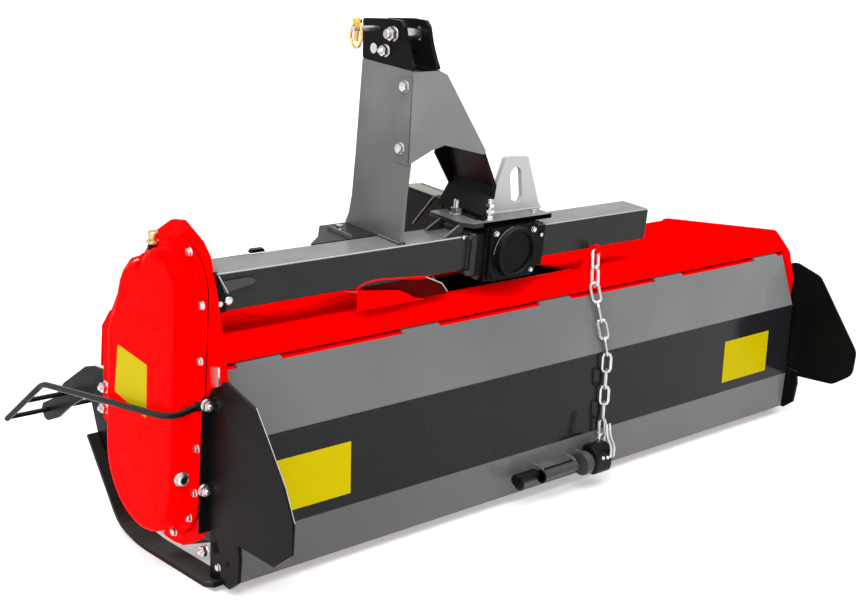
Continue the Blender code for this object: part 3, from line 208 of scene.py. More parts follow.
def tailgate_paint_and_painted_shade(name):
    """Graphite paint on the folded sheet with painted shade: darker between its two creases, lighter above
    and below them, and lighter towards the right end.
    """
    f = Finish(name)
    h = f.height()
    cloud = f.span(f.noise(2.6, 4), 0.35, 0.65, 0.90, 1.10)
    # Painted shade: the facet between the creases is dark, and the facets above and below it are lighter, as
    # the light falls on them.
    upper, middle, lower = (0.132, 0.134, 0.136), (0.009, 0.0095, 0.011), (0.110, 0.112, 0.109)
    tone = f.mix(f.span(h, *LOWER_CREASE), lower, middle)
    tone = f.mix(f.span(h, *UPPER_CREASE), tone, upper)
    tone = f.mix(f.rubbed(0.7), tone, (0.30, 0.30, 0.30))
    tone = f.mix(f.span(f.noise(300, 2, 0.6), 0.70, 0.76, 0, 0.25), tone, (0.32, 0.32, 0.32))
    # Painted light falloff: darker towards the left end and lighter towards the right, times a random cloudy
    # tone.
    tint_and_painted_light = f.node("ShaderNodeVectorMath", {0: tone}, operation="SCALE")
    across = f.node("ShaderNodeSeparateXYZ", {"Vector": f.place}).outputs["X"]
    f.feed(tint_and_painted_light.inputs["Scale"], f.maths("MULTIPLY", cloud, f.span(across, -0.8, 0.8, 0.84, 1.14)))
    gloss = f.span(f.noise(20, 4), 0.3, 0.7, 0.10, 0.17)
    f.set(Base_Color=tint_and_painted_light.outputs[0], Roughness=gloss, IOR=1.5, Specular_IOR_Level=0.14)
    f.relief(f.maths("ADD", f.noise(240, 2), f.maths("MULTIPLY", f.noise(30, 2), 2.0)), 0.08, 0.0006, 0.0015)
    return f.material


RED = painted("red_gloss", (0.92, 0.0, 0.0), 0.28, (0.80, 0.02, 0.03), shade=0.04, shine=0.004, dust_and_sheen=0.0)
# A brighter copy of the red paint for the hood and its collar: painted light that washes out the shade under
# the beam.
LIT_HOOD_RED = painted(
    "lit_hood_red_gloss", (0.99, 0.0, 0.0), 0.35, (0.80, 0.02, 0.03), shade=0.01, shine=0.0, dust_and_sheen=0.0,
)
# Graphite paint whose strong grey film on upward faces is a painted sheen: tops lighter than the sides, as
# the light makes them.
GRAPHITE = painted(
    "graphite_paint_and_sheen", (0.016, 0.0175, 0.0165), 0.26, (0.16, 0.16, 0.16), dust_and_sheen=0.85, shine=0.12,
    dust_and_sheen_colour=(0.215, 0.225, 0.215),
)
# The mast's grey paint, also used for the painted highlight on the gearbox cover's ring and for pale lines
# along the gussets' edges.
MAST_GREY_AND_HIGHLIGHT = painted("mast_paint_and_highlight", (0.145, 0.148, 0.147), 0.34, (0.30, 0.30, 0.30), shade=0.2, shine=0.2)
# A darker copy of the mast's grey for its left plate, the sheet's flange and the base's lip: painted shade,
# with cloudy stains.
SHADED_MAST_SIDE = painted(
    "shaded_mast_side_paint", (0.098, 0.099, 0.097), 0.30, (0.25, 0.25, 0.25), shade=0.35, shine=0.22,
)
IRON = painted("iron_paint", (0.038, 0.038, 0.039), 0.34, (0.16, 0.16, 0.16), shine=0.2)
BLACK = painted("satin_black_paint", (0.0035, 0.0035, 0.0035), 0.30, (0.06, 0.06, 0.06), shine=0.045)
# Pale grey paint, also used for thin pale lines along edges, some of which are painted highlights.
PALE_GREY_AND_HIGHLIGHT = painted("pale_grey_paint_and_highlight", (0.38, 0.39, 0.38), 0.40, (0.60, 0.60, 0.60))
OLIVE = painted("guard_top_paint", (0.20, 0.215, 0.165), 0.45, (0.30, 0.30, 0.26))
TAILGATE = tailgate_paint_and_painted_shade("tailgate_paint_and_painted_shade")
ZINC = metal("zinc_plate", (0.62, 0.62, 0.63), 0.30, (0.30, 0.29, 0.27))
GOLD = metal("yellow_zinc", (0.83, 0.50, 0.10), 0.22, (0.50, 0.16, 0.03), blotch=0.6)
BRASS = metal("brass", (0.56, 0.47, 0.24), 0.28, (0.35, 0.25, 0.12))
FORGED = metal("forged_steel", (0.20, 0.19, 0.18), 0.45, (0.07, 0.05, 0.04), blotch=0.6)
YELLOW = vinyl("yellow_vinyl", (0.48, 0.385, 0.0))
RUBBER = plastic("black_plastic", (0.005, 0.005, 0.005), 0.30, 0.08)
# Matt black that stands for shade where no light reaches: painted shadow.
SHADOW = plastic("painted_shadow_black", (0.001, 0.001, 0.001), 0.8, 0.0)
# Dark red for the case's gasket, and for painted shade inside the hood's collar.
GASKET_AND_SHADE = plastic("gasket", (0.06, 0.0, 0.0), 0.6, 0.02)

# The finishes of each material slot, the plain one first
FINISHES = {
    "red_paint": (RED, LIT_HOOD_RED, GASKET_AND_SHADE),
    "grey_paint": (GRAPHITE, TAILGATE, MAST_GREY_AND_HIGHLIGHT, SHADED_MAST_SIDE, IRON),
    "black_paint": (BLACK, RUBBER, SHADOW),
    "light_grey_paint": (PALE_GREY_AND_HIGHLIGHT, YELLOW, OLIVE),
    "zinc": (ZINC, GOLD, BRASS),
    "bare_steel": (FORGED,),
}
# Solids whose finish isn't the plain one of their slot
OWN = {
    "tailgate": TAILGATE, "tailgate_handle": RUBBER, "mast_plate_left": SHADED_MAST_SIDE,
    "mast_rear_sheet": MAST_GREY_AND_HIGHLIGHT, "gearbox": BLACK, "gearbox_cover": BLACK, "hood": LIT_HOOD_RED,
    "hinge_rod": RED,
}


def finish_nodes():
    """Gives each solid its finish."""
    for part in frame["record"]["subparts"]:
        obj = NODES[part["node"]]
        material = OWN.get(part["node"]) or FINISHES[part["material_slot"]][0]
        if not obj.data.materials:
            obj.data.materials.append(material)
        for slot in obj.material_slots:
            slot.link = "OBJECT"
            slot.material = material


# Pieces

def put(name, data):
    """A new object in the scene."""
    obj = bpy.data.objects.new(name, data)
    bpy.context.scene.collection.objects.link(obj)
    return obj


def piece(name, bm, material, body="frame", smooth=35):
    """The mesh as a piece in the machine's frame that moves with this body."""
    bmesh.ops.recalc_face_normals(bm, faces=bm.faces)
    mesh = bpy.data.meshes.new(name)
    bm.to_mesh(mesh)
    bm.free()
    mesh.transform(PLACE)
    mesh.shade_smooth()
    mesh.set_sharp_from_angle(angle=math.radians(smooth))
    obj = put(name, mesh)
    mesh.materials.append(material)
    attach(obj, body)
    return obj


def turned(axis, place):
    """The matrix that takes +Z to this axis and the origin to this place."""
    turn = UP.rotation_difference(Vector(axis)).to_matrix().to_4x4()
    return Matrix.Translation(place) @ turn


def skin(bm, rings, closed=False):
    """Faces from each ring to the next. The first and last are capped, or joined where the run is closed."""
    pairs = list(zip(rings, rings[1:])) + ([(rings[-1], rings[0])] if closed else [])
    for lower, upper in pairs:
        for i in range(len(lower)):
            j = (i + 1) % len(lower)
            bm.faces.new((lower[i], lower[j], upper[j], upper[i]))
    if not closed:
        bm.faces.new(rings[0][::-1])
        bm.faces.new(rings[-1])


def revolve(bm, profile, matrix, sides=24, spin=0.0):
    """A solid of revolution about Z through these (radius, height) points, closed at both ends."""
    rings = []
    for radius, height in profile:
        ring = []
        for i in range(sides):
            a = spin + 2 * math.pi * i / sides
            ring.append(bm.verts.new(matrix @ Vector((radius * math.cos(a), radius * math.sin(a), height))))
        rings.append(ring)
    skin(bm, rings)


# A hexagon's end face as a share of its flats, and how far a corner falls for what it stands out
HEX_FACE = 0.94
HEX_FALL = 0.6


def hexagon(bm, matrix, flats, height, start=0.0, spin=0.0):
    """A hexagon head or nut with its corners turned off in a cone."""
    sides = 24
    inner = flats / 2 * HEX_FACE
    rings = [[], [], []]
    for i in range(sides):
        a = 2 * math.pi * i / sides
        out = flats / 2 / math.cos((a + math.pi / 6) % (math.pi / 3) - math.pi / 6)
        c, s = math.cos(a + spin), math.sin(a + spin)
        drop = max(0, (out - inner)) * HEX_FALL
        rings[0].append(bm.verts.new(matrix @ Vector((out * c, out * s, start))))
        rings[1].append(bm.verts.new(matrix @ Vector((out * c, out * s, start + height - drop))))
        rings[2].append(bm.verts.new(matrix @ Vector((inner * c, inner * s, start + height))))
    skin(bm, rings)


def disc(bm, matrix, radius, height, start=0.0):
    """A round washer or cap with broken edges."""
    edge = 0.0006
    end = start + height
    profile = [(radius - edge, start), (radius, start + edge), (radius, end - edge), (radius - edge, end)]
    revolve(bm, profile, matrix, 28)


def bolt(bm, place, axis, size=0.010, head=True, washer=True, stub=0.0, spin=0.3):
    """A bolt head or nut of this thread on a washer. The stub is the thread that stands past a nut."""
    matrix = turned(axis, place)
    base = 0.0
    if washer:
        disc(bm, matrix, size * 1.08, size * 0.18)
        base = size * 0.18
    hexagon(bm, matrix, size * 1.65, size * (0.68 if head else 0.85), base, spin)
    if stub:
        top = base + size * 0.85
        rise = 0.0
        profile = [(size * 0.46, top - size * 0.3)]
        while rise < stub:
            profile += [(size * 0.50, top + rise), (size * 0.43, top + rise + size * 0.08)]
            rise += size * 0.16
        profile.append((size * 0.34, top + rise))
        revolve(bm, profile, matrix, 16)


def bolts(name, rows, axis, size=0.010, material=None, body="frame", **how):
    """A piece made of bolts or nuts of one thread that point the same way."""
    bm = bmesh.new()
    for i, place in enumerate(rows):
        bolt(bm, place, axis, size, spin=0.3 + 1.1 * i, **how)
    return piece(name, bm, material or ZINC, body)


def at(across, u, v, w):
    """The point at u and v on a plate that lies across this axis, and at w along the axis."""
    return Vector({"x": (w, u, v), "y": (u, w, v), "z": (u, v, w)}[across])


def slab(bm, outline, start, end, across):
    """A flat plate: the outline's two coordinates are the axes other than the one that it lies across."""
    skin(bm, [[bm.verts.new(at(across, u, v, w)) for u, v in outline] for w in (start, end)])


def pierced(bm, loops, start, end, across="x"):
    """A flat plate: the first loop is its outline and the others are its holes."""
    sides = []
    for w in (start, end):
        rings = [[bm.verts.new(at(across, u, v, w)) for u, v in loop] for loop in loops]
        edges = [bm.edges.new((ring[i - 1], ring[i])) for ring in rings for i in range(len(ring))]
        bmesh.ops.triangle_fill(bm, edges=edges, use_beauty=True, normal=at(across, 0, 0, 1))
        sides.append(rings)
    for low, high in zip(*sides):
        for i in range(len(low)):
            bm.faces.new((low[i - 1], low[i], high[i], high[i - 1]))


def around(centre, radius, count=24):
    """A flat round outline."""
    turns = [2 * math.pi * i / count for i in range(count)]
    return [(centre[0] + radius * math.cos(t), centre[1] + radius * math.sin(t)) for t in turns]


def curve(first, here, last, steps):
    """Points that round the corner here, from first to last."""
    shares = [k / steps for k in range(steps + 1)]
    return [first * (1 - t) ** 2 + here * 2 * t * (1 - t) + last * t ** 2 for t in shares]


def rounded(corners, radius, steps=5):
    """A closed flat outline with its corners rounded."""
    points = []
    count = len(corners)
    for i, corner in enumerate(corners):
        here = Vector(corner)
        before = Vector(corners[i - 1]) - here
        after = Vector(corners[(i + 1) % count]) - here
        reach = min(radius / math.tan(before.angle(after) / 2), 0.45 * before.length, 0.45 * after.length)
        first = here + before.normalized() * reach
        last = here + after.normalized() * reach
        points += [(point.x, point.y) for point in curve(first, here, last, steps)]
    return points


def round_off(obj, width):
    """Rounds the sharp edges of a piece."""
    bevel = obj.modifiers.new("rounding", "BEVEL")
    bevel.width = width
    bevel.segments = 4
    bevel.limit_method = "ANGLE"
    bevel.angle_limit = math.radians(40)


def smooth_route(corners, radius, steps=6):
    """An open run of points with its corners rounded."""
    points = [Vector(corners[0])]
    for before, here, after in zip(corners, corners[1:], corners[2:]):
        here = Vector(here)
        first, last = Vector(before) - here, Vector(after) - here
        start = here + first.normalized() * min(radius, 0.45 * first.length)
        end = here + last.normalized() * min(radius, 0.45 * last.length)
        points += curve(start, here, end, steps)
    points.append(Vector(corners[-1]))
    return points


def tube(bm, points, radius, sides=12, closed=False):
    """A round bar along these points."""
    points = [Vector(p) for p in points]
    count = len(points)
    rings = []
    side = None
    for i, here in enumerate(points):
        before = points[i - 1] if i or closed else here
        after = points[(i + 1) % count] if i < count - 1 or closed else here
        along = (after - before).normalized()
        if side is None:
            side = along.orthogonal().normalized()
        side = (side - along * side.dot(along)).normalized()
        other = along.cross(side)
        ring = []
        for k in range(sides):
            a = 2 * math.pi * k / sides
            ring.append(bm.verts.new(here + (side * math.cos(a) + other * math.sin(a)) * radius))
        rings.append(ring)
    skin(bm, rings, closed)


def weld(bm, points, radius):
    """A weld bead: a bar along these points that swells with each ripple."""
    points = [Vector(p) for p in points]
    route = []
    for a, b in zip(points, points[1:]):
        count = max(2, int((b - a).length / (radius * 0.55)))
        route += [a.lerp(b, i / count) for i in range(count)]
    route.append(points[-1])
    along = (points[-1] - points[0]).normalized()
    side = along.orthogonal().normalized()
    rings = []
    for i, here in enumerate(route):
        after = route[min(i + 1, len(route) - 1)]
        before = route[max(i - 1, 0)]
        along = (after - before).normalized()
        side = (side - along * side.dot(along)).normalized()
        other = along.cross(side)
        size = radius * (1.10 if i % 2 else 0.88) * (1 + 0.08 * math.sin(i * 1.7))
        if i in (0, len(route) - 1):
            size = radius * 0.5
        ring = []
        for k in range(8):
            turn = math.pi * k / 4
            ring.append(bm.verts.new(here + (side * math.cos(turn) + other * math.sin(turn)) * size))
        rings.append(ring)
    skin(bm, rings)


def welds(name, runs, material, radius=0.0035, body="frame"):
    """A piece made of weld beads."""
    bm = bmesh.new()
    for run in runs:
        weld(bm, run, radius)
    return piece(name, bm, material, body, smooth=60)


def sheet(name, outline, start, end, across, material, body="frame"):
    """A piece that is one flat plate."""
    bm = bmesh.new()
    slab(bm, outline, start, end, across)
    return piece(name, bm, material, body)


def bar(name, points, radius, sides, material, body="frame"):
    """A piece that is one round bar."""
    bm = bmesh.new()
    tube(bm, points, radius, sides)
    return piece(name, bm, material, body)


def turning(name, profile, matrix, sides, material, body="frame"):
    """A piece that is one solid of revolution."""
    bm = bmesh.new()
    revolve(bm, profile, matrix, sides)
    return piece(name, bm, material, body)


# Drive case

# Bolts round the rim of the drive case: place forwards and height
CASE_BOLTS = (
    (-0.0900, 0.4070), (-0.1320, 0.3290), (-0.1320, 0.2323), (-0.1300, 0.1525), (-0.1290, 0.0746),
    (-0.1262, -0.0090), (-0.1116, -0.0626), (-0.0640, -0.1120), (-0.0197, -0.1275), (0.0400, -0.1226),
    (0.0900, -0.0924), (0.1240, -0.0356), (0.1290, 0.0500), (0.1290, 0.1400), (0.1250, 0.2250),
    (0.1000, 0.2900), (0.0790, 0.3400),
)
CASE_SHOULDER = (
    (0.104, 0.255), (0.092, 0.285), (0.082, 0.318), (0.070, 0.340), (0.052, 0.354), (0.030, 0.363),
)
CASE_FACE = -0.8603
RIM_FACE = -0.8203


def case_outline(grow):
    """The case's own outline, grown by this much."""
    radius = 0.122 + grow
    turns = [math.radians(9 * i) for i in range(20, 41)]
    points = [(radius * math.cos(t), radius * math.sin(t)) for t in turns]
    points += [(radius, CASE_SHOULDER[0][1])] + [(y + grow, z + grow / 2) for y, z in CASE_SHOULDER]
    lobe = 0.0685 + grow
    turns = [math.radians(14 + 158 * i / 16) for i in range(17)]
    points += [(-0.053 + lobe * math.cos(t), 0.338 + lobe * math.sin(t)) for t in turns]
    return points + [(-radius, 0.300)]


def ribbon(bm, outline, start, end, inner, outer):
    """A closed band round the case between two growths of its outline."""
    low_in = [bm.verts.new((start, y, z)) for y, z in outline(inner)]
    low_out = [bm.verts.new((start, y, z)) for y, z in outline(outer)]
    high_in = [bm.verts.new((end, y, z)) for y, z in outline(inner)]
    high_out = [bm.verts.new((end, y, z)) for y, z in outline(outer)]
    count = len(low_in)
    for i in range(count):
        j = (i + 1) % count
        for a, b in ((low_in, low_out), (low_out, high_out), (high_out, high_in), (high_in, low_in)):
            bm.faces.new((a[i], a[j], b[j], b[i]))


def dress_case():
    """Bolts, gasket, breather, sight plug and blank sign of the drive case."""
    bolts("case_bolts", [(RIM_FACE, y, z) for y, z in CASE_BOLTS], LEFT, 0.0075)
    bm = bmesh.new()
    ribbon(bm, case_outline, -0.8135, -0.8115, 0.010, 0.0156)
    piece("case_gasket", bm, GASKET_AND_SHADE)
    bm = bmesh.new()
    matrix = turned(UP, Vector((-0.8400, -0.0040, 0.3990)))
    hexagon(bm, matrix, 0.0190, 0.0060, 0.0020)
    cap = [
        (0.0065, 0.008), (0.0065, 0.010), (0.0085, 0.011), (0.0088, 0.013), (0.0088, 0.021),
        (0.0070, 0.023), (0.0040, 0.024),
    ]
    revolve(bm, cap, matrix, 20)
    piece("case_breather", bm, BRASS)
    turning("breather_neck", [(0.0085, -0.020), (0.0085, 0.000), (0.0070, 0.003)], matrix, 20, RUBBER)
    bm = bmesh.new()
    matrix = turned(REAR, Vector((-0.8455, -0.1219, 0.0220)))
    disc(bm, matrix, 0.0135, 0.004)
    hexagon(bm, matrix, 0.0195, 0.006, 0.004)
    piece("case_sight_plug", bm, ZINC)
    bm = bmesh.new()
    disc(bm, matrix, 0.0065, 0.0012, 0.0098)
    piece("case_sight_glass", bm, RUBBER)
    corners = [(0.084, 0.108), (0.075, 0.199), (-0.027, 0.196), (-0.028, 0.099)]
    sheet("case_decal", rounded(corners, 0.004, 3), CASE_FACE, CASE_FACE - 0.0004, "x", YELLOW)


# Side plates and wings

# The hinge rod's place forwards and height
HINGE = (-0.1352, 0.2085)
# The side plates' inner and outer faces, the seat of what is bolted to them, and the wings' outer faces
PLATE_IN, PLATE_OUT, SEAT, WING_OUT = 0.7920, 0.8000, 0.8003, 0.8053
# The left side plate's corners over its round bottom: place forwards and height
LEFT_EDGE = (
    (0.243, -0.020), (0.2460, 0.1650), (0.2200, 0.2000), (0.1916, 0.2497), (0.1643, 0.3072),
    (0.1424, 0.3290), (0.0988, 0.3483), (0.0640, 0.3980), (0.0080, 0.4345), (-0.0260, 0.4415),
    (-0.0842, 0.4200), (-0.1075, 0.4010), (-0.1320, 0.3390), (-0.1545, 0.2673), (-0.1730, 0.2100),
    (-0.1730, -0.010),
)
# The wing's corners behind the side plate
WING_EDGE = (
    (-0.1390, -0.0840), (-0.1390, 0.1780), (-0.1640, 0.2020), (-0.1850, 0.2120), (-0.2699, 0.1979),
    (-0.3035, 0.1613), (-0.3598, 0.0979), (-0.3894, 0.0474), (-0.3905, -0.0084), (-0.3451, -0.0499),
    (-0.2307, -0.0619), (-0.1560, -0.0730),
)


def dress_plates():
    """The left side plate and the left wing, with a painted highlight along part of the wing's edge."""
    bm = bmesh.new()
    turns = [math.radians(200 + 140 * i / 14) for i in range(15)]
    outline = [(0.158 * math.cos(t), 0.158 * math.sin(t)) for t in turns] + rounded(LEFT_EDGE, 0.010, 3)
    pierced(bm, [outline, around((0, 0), 0.0206), around(HINGE, 0.0066, 12)], -PLATE_OUT, -PLATE_IN)
    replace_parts(piece("side_plate_sheet", bm, RED), "side_plate_left")
    outline = rounded(WING_EDGE, 0.008, 4)
    bm = bmesh.new()
    slab(bm, outline, -SEAT, -WING_OUT, "x")
    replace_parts(piece("wing_sheet_left", bm, BLACK), "wing_left")
    # Painted highlight: a pale line along part of the wing's edge.
    edge = [(-0.8010, y, z) for y, z in WING_EDGE[4:8]]
    bar("wing_edge_highlight_left", smooth_route(edge, 0.006), 0.0008, 8, PALE_GREY_AND_HIGHLIGHT)


def dress_sides():
    """Bolts, nuts, flanges and small brackets on the two side plates and the wings."""
    for name, side, axis in (("left", -1, LEFT), ("right", 1, RIGHT)):
        strip = [(-0.1385, -0.080), (-0.1385, 0.168), (-0.1410, 0.170), (-0.1410, -0.082)]
        sheet(f"wing_flange_{name}", strip, side * 0.8052, side * 0.8198, "x", BLACK)
        bm = bmesh.new()
        for x, z in ((side * 0.8125, 0.1570), (side * 0.8125, 0.0010)):
            bolt(bm, (x, -0.1410, z), REAR, 0.0105, stub=0.004, head=False, spin=z * 20)
        bolt(bm, (side * SEAT, -0.136, -0.121), axis, 0.0105, stub=0.004, head=False)
        bolt(bm, (side * 0.8083, -0.190, -0.1250), axis, 0.006)
        piece(f"wing_bolts_{name}", bm, ZINC)
    for name, inner, outer in (("left", -PLATE_OUT, -0.7930), ("right", 0.7930, PLATE_OUT)):
        heel = [
            (-0.1740, -0.0600), (-0.2300, -0.0600), (-0.2370, -0.0900), (-0.2350, -0.1380),
            (-0.2120, -0.1600), (-0.1840, -0.1600),
        ]
        sheet(f"post_heel_{name}", rounded(heel, 0.006), inner, outer, "x", BLACK)
    bm = bmesh.new()
    for x, axis in ((-SEAT, LEFT), (SEAT, RIGHT)):
        bolt(bm, (x, 0.232, 0.050), axis, 0.011, stub=0.004, head=False)
        bolt(bm, (x, 0.232, 0.008), axis, 0.011, stub=0.004, head=False)
    piece("skid_post_nuts", bm, ZINC)
    bm = bmesh.new()
    for k in range(4):
        turn = math.radians(45 + 90 * k)
        bolt(bm, (0.8143, 0.057 * math.cos(turn), 0.057 * math.sin(turn)), RIGHT, 0.010, spin=k)
    bolt(bm, (0.8403, 0, 0), RIGHT, 0.016, washer=True)
    piece("bearing_bolts", bm, ZINC)
    bm = bmesh.new()
    for y, z in ((0.205, 0.196), (0.060, 0.226), (-0.060, 0.245), (0.252, 0.150)):
        bolt(bm, (SEAT, y, z), RIGHT, 0.008, spin=y * 9)
    piece("hood_bolts_right", bm, ZINC)
    tab = [(-0.1175, 0.2155), (-0.1202, 0.1708), (-0.1728, 0.2009), (-0.1705, 0.2343)]
    sheet("side_bracket", rounded(tab, 0.004), -0.8063, -0.8005, "x", RED)
    bm = bmesh.new()
    clip = [(-0.1450, 0.2255), (-0.1500, 0.1935), (-0.1715, 0.1990), (-0.1690, 0.2330)]
    slab(bm, rounded(clip, 0.003), -0.8105, -0.8064, "x")
    bolt(bm, (-0.7848, -0.1258, 0.3245), REAR, 0.0055, washer=False)
    piece("side_bracket_pin", bm, ZINC)
    bolts("hinge_nut_right", [(SEAT, *HINGE)], RIGHT, 0.010, head=False)


# Beam and what stands on it

BEAM_REAR, BEAM_FRONT, BEAM_TOP, BEAM_BOTTOM = -0.123, -0.047, 0.375, 0.307


def dress_beam():
    """The beam's welds, gusset and edges, a painted shadow at its left end, a painted highlight along its top
    rear edge, and the plate that carries the mast.
    """
    edge = [
        (-0.7905, 0.3745), (-0.7798, 0.3610), (-0.7297, 0.3621), (-0.7214, 0.3590), (-0.7190, 0.3552),
        (-0.7225, 0.3515), (-0.7769, 0.3420),
    ]
    sheet("beam_gusset", edge, BEAM_REAR - 0.0062, BEAM_REAR - 0.0002, "y", IRON)
    y = BEAM_REAR - 0.0066
    bar("beam_gusset_edge", [(-0.7900, y, 0.3735), (-0.7712, y, 0.3420)], 0.0012, 8, PALE_GREY_AND_HIGHLIGHT)
    # Painted shadow: a black sheet on the left end of the beam's rear face.
    foot = [(-0.7912, 0.3735), (-0.7912, 0.3080), (-0.7705, 0.3080), (-0.7735, 0.3420)]
    sheet("beam_end_shadow_left", foot, BEAM_REAR - 0.0028, BEAM_REAR - 0.0002, "y", BLACK)
    matrix = turned(REAR, Vector((-0.7667, BEAM_REAR, 0.3268)))
    dome = [(0.0085, 0), (0.0085, 0.002), (0.0070, 0.0045), (0.0040, 0.0060), (0.0015, 0.0065)]
    turning("beam_rivet", dome, matrix, 24, ZINC)
    nub = [(-0.6750, 0.3740), (-0.6710, 0.3800), (-0.6490, 0.3800), (-0.6450, 0.3740)]
    sheet("beam_nub", nub, BEAM_FRONT + 0.0010, BEAM_FRONT + 0.0110, "y", BLACK)
    runs = [
        [(-0.7915, BEAM_REAR, BEAM_TOP + 0.001), (-0.7915, BEAM_FRONT, BEAM_TOP + 0.001)],
        [(-0.2393, BEAM_REAR - 0.001, BEAM_BOTTOM + 0.004), (-0.2393, BEAM_REAR - 0.001, BEAM_TOP - 0.004)],
        [(-0.2393, BEAM_REAR + 0.004, BEAM_TOP + 0.001), (-0.2393, BEAM_FRONT - 0.004, BEAM_TOP + 0.001)],
        [(-0.0385, BEAM_REAR + 0.004, BEAM_TOP + 0.001), (-0.0385, BEAM_FRONT - 0.004, BEAM_TOP + 0.001)],
        [(-0.401, -0.117, BEAM_TOP + 0.001), (-0.401, -0.050, BEAM_TOP + 0.001)],
        [(-0.391, -0.117, BEAM_TOP + 0.001), (-0.391, -0.050, BEAM_TOP + 0.001)],
    ]
    welds("beam_welds", runs, GRAPHITE, 0.0030)
    # Painted highlight: pale lines along the beam's top rear edge.
    bm = bmesh.new()
    y, z = BEAM_REAR + 0.0026, BEAM_TOP - 0.0014
    for start, end in ((-0.7890, -0.2420), (-0.0360, 0.2740)):
        tube(bm, [(start, y, z), (end, y, z)], 0.0014, 8)
    piece("beam_edge_highlight", bm, PALE_GREY_AND_HIGHLIGHT)
    bm = bmesh.new()
    corners = [
        (-0.552, BEAM_FRONT + 0.0004), (-0.508, -0.010), (-0.474, 0.034), (-0.462, 0.0488), (-0.330, 0.0488),
        (-0.330, BEAM_FRONT + 0.0004),
    ]
    slab(bm, rounded(corners, 0.003, 2), 0.3652, BEAM_TOP, "z")
    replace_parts(piece("mast_base_plate", bm, BLACK), "mast_base")
    rib = [(-0.0465, 0.3650), (-0.0465, 0.3200), (0.0440, 0.3640), (0.0440, 0.3650)]
    sheet("mast_base_ribs", rib, -0.3560, -0.3500, "x", BLACK)
    rib = [
        (-0.044, BEAM_TOP - 0.0005), (0.028, BEAM_TOP - 0.0005), (0.028, BEAM_TOP + 0.0060),
        (-0.044, BEAM_TOP + 0.0060),
    ]
    sheet("mast_base_lip", rib, -0.4590, -0.4560, "x", SHADED_MAST_SIDE)
    bolts("mast_base_bolt", [(-0.4400, 0.0160, BEAM_TOP)], UP, 0.008, head=False)


# The place across of the gearbox's middle and of the splined shaft
SHAFT_X = -0.133


